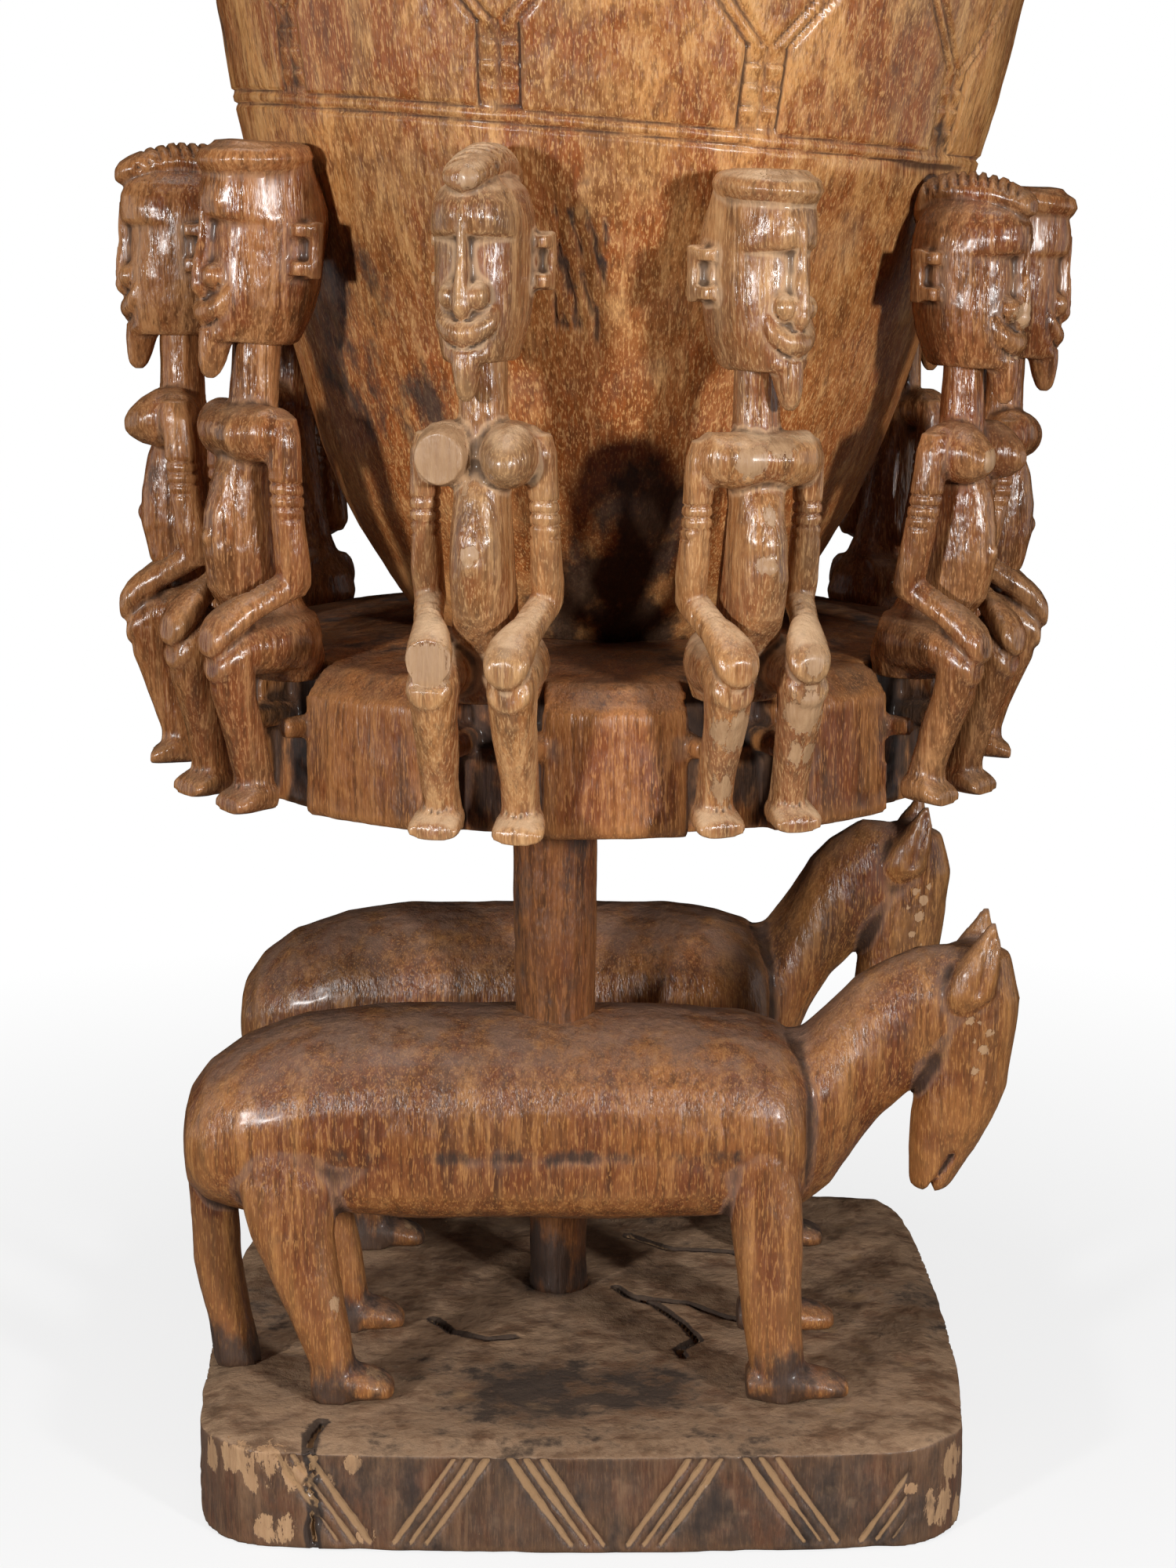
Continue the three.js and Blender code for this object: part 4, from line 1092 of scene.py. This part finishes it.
def figure_head(name, woman):
    # Each ring of the skull has its height, front, back and half width.
    rings = [
        (4, 18, -12, 10.6), (5.6, 19, -15, 12), (11, 19.8, -17.5, 13.4), (17, 19.6, -20, 14.8),
        (25, 19.2, -21.6, 15.6), (35, 18.6, -22.6, 16.1), (45.4, 18.2, -23.4, 16.3),
        (47.2, 22, -23.4, 16.3), (52, 23, -23, 16),
    ]
    if woman:
        rings += [(57, 22.6, -22, 15), (61.5, 20.2, -20, 12.8), (64.8, 15, -16.5, 9.4), (66.6, 7, -10, 5)]
    else:
        rings += [
            (57, 22.6, -21, 15.7), (62, 21.4, -18.4, 15.5), (70, 20.2, -15, 15), (73, 18, -12.6, 13.4),
            (73.6, 13, -9, 10),
        ]
    skull = [(0, (front + back) / 2, z, wide, (front - back) / 2) for z, front, back, wide in rings]
    members = [
        drawn(skull, "Z", 32, 0.84),
        drawn([
            (0, 18.6, 21, 2.6, 4.4), (0, 19.2, 26, 3.2, 6.2), (0, 19, 33, 2.5, 6), (0, 18.8, 40, 1.9, 5),
            (0, 19.4, 47, 1.8, 4.4), (0, 19.6, 54, 1.6, 3.8),
        ], "Z", 12, 0.8),
        drawn([
            (0, 14.4, 9, 5.8, 7), (0, 15.6, 3, 5, 6.2), (0, 16.4, -3, 4, 5), (0, 16.8, -7, 3, 3.6),
            (0, 16.8, -9, 1.5, 1.7),
        ], "Z", 14, 0.85),
        lump((5.2, 19, 26.4), (3.9, 4.4, 4.6)),
        lump((-5.2, 19, 26.4), (3.9, 4.4, 4.6)),
        lump((0, 20.8, 23.4), (3.5, 4.6, 4.8)),
    ]
    cheek_to_cheek = [math.radians(a) for a in range(-80, 81, 8)]
    members += row_of_lumps([
        (9.2 * math.sin(a), 18.6 - 3.4 * math.sin(a) ** 2, 27.2 - 13.2 * math.cos(a) ** 0.6)
        for a in cheek_to_cheek
    ], 4.9, 0.6)
    members += row_of_lumps([
        (8.2 * math.sin(a), 17.4 - 2.6 * math.sin(a) ** 2, 12.6 - 6.8 * math.cos(a) ** 0.6)
        for a in cheek_to_cheek[3:-3]
    ], 3.1, 0.4)
    for side in (-1, 1):
        members += [
            slab_of((17.4 * side, -12.6, 37.6), (8, 4.6, 20)),
            slab_of((17.2 * side, -9, 44.2), (7.6, 9.5, 4.6)),
            slab_of((17.2 * side, -9, 31), (7.6, 9.5, 5)),
            slab_of((15 * side, -9.4, 37.6), (4.4, 8, 14)),
        ]
    if woman:
        members.append(drawn([
            (0, -23.4, 61, 4, 5), (0, -20, 65.6, 7.4, 7.4), (0, -10, 69, 8.8, 7.6), (0, 1, 69.4, 9, 7.4),
            (0, 11, 68.2, 8.8, 6.6), (0, 18.6, 66.4, 8, 5.4), (0, 22.6, 65, 6.6, 4.4),
            (0, 24.4, 64.4, 3.4, 2.6),
        ], "Y", 20))
    else:
        rolled_rim = ring((0, 4, 67.6), 13.4, 5.2, (math.radians(-5), 0, 0))
        rolled_rim.scale = (1, 1.14, 0.98)
        members.append(rolled_rim)
    head = carved(name, members, 0.9, 2)
    brow = [[(side * x, 22.2 - 0.035 * x * x, 46) for x in (2.5, 5, 8, 11, 14.5)] for side in (-1, 1)]
    chiselled(head, brow, 1.9, 1.3)
    lip_line = [[
        (8.6 * math.sin(a), 20.8 - 3 * math.sin(a) ** 2, 15.6 - 6.8 * math.cos(a) ** 0.6)
        for a in cheek_to_cheek[2:-2]
    ]]
    chiselled(head, lip_line, 1.6, 1.3)
    nose_line = [[
        (9 * math.sin(a), 21.5 - 3.4 * math.sin(a) ** 2, 26.4 - 8.2 * math.cos(a))
        for a in cheek_to_cheek[1:-1]
    ]]
    chiselled(head, nose_line, 1.5, 1)
    if woman:
        # Ten combed lines run across the crest of hair.
        hatching = []
        for step in range(10):
            y = -20 + 4.2 * step
            top = 76.6 - 0.014 * (y + 2) ** 2
            hatching.append([
                (x, y + 0.4 * x, top - 7.4 * (1 - math.sqrt(1 - (x / 9.4) ** 2)))
                for x in (-8.6, -6.5, -3.4, 0, 3.4, 6.5, 8.6)
            ])
        chiselled(head, hatching, 2.3, 1.7)
    return head


def copy_of(body, name):
    twin = body.copy()
    twin.data = body.data.copy()
    twin.name = name
    twin.data.name = name
    scene.collection.objects.link(twin)
    return twin


bodies_carved = {True: figure_body("woman_body", True), False: figure_body("man_body", False)}
heads_carved = {True: figure_head("woman_head", True), False: figure_head("man_head", False)}
neck_reach, chin_height, seat_inset = 19.5, 111, 4
# Each figure has the turn of its head, its size, how far in it sits and its lean.
figures = [
    (-4, 1, 0, 0.5), (20, 0.97, 0, 0.4), (4, 0.955, 1, 2), (0, 0.945, 6, 3), (0, 0.95, 4, 1.5),
    (0, 0.97, 2, 1.5), (0, 0.98, 0, 1.5), (0, 0.99, 0, 1.5), (0, 1.01, 0, 0.5), (-9, 1.02, 0, 4),
]
worn_places = {
    1: [(11.5, 36, 82, 12, 1.6), (14, 41, 12, 9, 1.2), (0, 42, 176, 4), (0, 37, 50, 4)],
    2: [
        (2, 42, 184, 7), (-14, 38, -6, 9), (-14, 36, -22, 7), (14, 38, -12, 10), (15, 34, -34, 7),
        (-14, 43, 14, 6), (-4, 35, 90, 6), (8, 36, 84, 6), (0, 36, 66, 5), (3, 36, 48, 4),
    ],
    3: [(12, 40, 82, 5), (0, 42, 136, 6), (0, 36, 120, 5)],
    10: [(0, 24, 185, 3)],
}
for index, (azimuth, (turn, size, inset, lean)) in enumerate(zip(seats, figures), 1):
    woman = index % 2 == 1
    body = copy_of(bodies_carved[woman], f"carved_figure_{index}")
    head = copy_of(heads_carved[woman], f"head_{index}")
    on_neck = Matrix.Translation((0, neck_reach * mm, chin_height * mm))
    head.data.transform(on_neck @ Matrix.Rotation(math.radians(turn), 4, "Z"))
    bpy.ops.object.select_all(action="DESELECT")
    head.select_set(True)
    body.select_set(True)
    bpy.context.view_layer.objects.active = body
    bpy.ops.object.join()
    if index == 1:
        # One breast and one hand of this figure are broken off flat.
        place, _ = surface(body)
        broken = (place[:, 0] > 0) & (place[:, 2] > 68) & (place[:, 2] < 98)
        place[broken, 1] = np.minimum(place[broken, 1], 34 + 0.06 * (place[broken, 2] - 82))
        broken = (place[:, 0] > 5) & (place[:, 2] > 4) & (place[:, 2] < 25)
        place[broken, 1] = np.minimum(place[broken, 1], 39)
        reshape(body, place)
    weathered_and_shaded(body, worn=worn_places.get(index, []), spread=16)
    seat_radius = disc_radius - seat_inset - inset
    around = math.radians(azimuth)
    body.data.transform(
        Matrix.Translation((
            (disc_middle_x + seat_radius * math.sin(around)) * mm,
            -seat_radius * math.cos(around) * mm,
            (disc_shoulder + seam) * mm,
        ))
        @ Matrix.Rotation(math.radians(lean), 4, "Y")
        @ Matrix.Rotation(around + math.pi, 4, "Z")
        @ Matrix.Scale(size, 4)
    )
    hand_cut(body, 14, 0.45, f"figure_{index}_knifed")
    body.data.materials.clear()
    body.data.materials.append(handled_wood if index in (1, 2) else figure_wood)
    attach(body, "vessel")
    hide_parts(f"figure_{index}")
for pattern in list(bodies_carved.values()) + list(heads_carved.values()):
    bpy.data.objects.remove(pattern)


# Lid: a low dome, hollowed underneath, with a spigot that drops into the bowl's mouth. It carries
# the same incised zigzag as the bowl, and a small standing horse by which it is lifted.
lid_place = bowl_place @ Matrix.Translation((0, 0, 280.3 * mm))
lid_outline = [
    (1, 52), (40, 52), (66, 51.6), (74, 50.4), (102, 43.4), (134, 25.4), (150, 13), (158, 9.5),
    (162.5, 8.2), (164.2, 5.5), (164.2, 2), (163, 0.2), (149, 0), (148.3, -1), (148.3, -9), (147, -10),
    (138.6, -10), (137.3, -9), (137.3, 2), (118, 14), (96, 22.6), (56, 40.4), (1, 41),
]
lid = drawn([(0, 0, z, r, r) for r, z in lid_outline], "Z", 200)
applied(lid, "SUBSURF", subdivision_type="SIMPLE", levels=1, render_levels=1)
lid = carved("carved_lid", [lid], 2.3, 1)


def on_lid(azimuth, radius):
    turn = math.radians(azimuth)
    radii = [r for r, _ in lid_outline[:10]]
    height = float(np.interp(radius, radii, [z for _, z in lid_outline[:10]]))
    return (radius * math.sin(turn), -radius * math.cos(turn), height)


hand_cut(lid, 36, 0.8, "lid_adzed")
lid_lines = [[on_lid(a, radius) for a in round_the_bowl] for radius in (148, 143)]
zigzag_outer, zigzag_depth = 136, 50
for step in range(10):
    foot, peak = 36 * step, 36 * step + half_spacing
    for offset in (0, 5):
        inwards, outwards = [], []
        for share in quarters:
            along, drop = half_spacing * share, zigzag_depth * share
            inwards.append(on_lid(foot + along, zigzag_outer - drop - offset))
            outwards.append(on_lid(peak + along, zigzag_outer - zigzag_depth + drop - offset))
        lid_lines += [inwards, outwards]
chiselled(lid, lid_lines, 3.4, 1.2)
lid.data.transform(lid_place)
weathered_and_shaded(lid, spread=12)
lid.data.materials.append(bowl_wood)
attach(lid, "lid")
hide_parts("lid")

lid_horse = horse_shape("carved_lid_horse", 2.5, 0, 0, 0)
lid_horse.data.transform(
    lid_place @ Matrix.Translation((16.5 * mm, 0, 52.3 * mm)) @ Matrix.Scale(0.5, 4)
)
hand_cut(lid_horse, 16, 0.35, "lid_horse_knifed")
weathered_and_shaded(lid_horse)
lid_horse.data.materials.append(oiled_wood)
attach(lid_horse, "lid")
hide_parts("lid_horse")
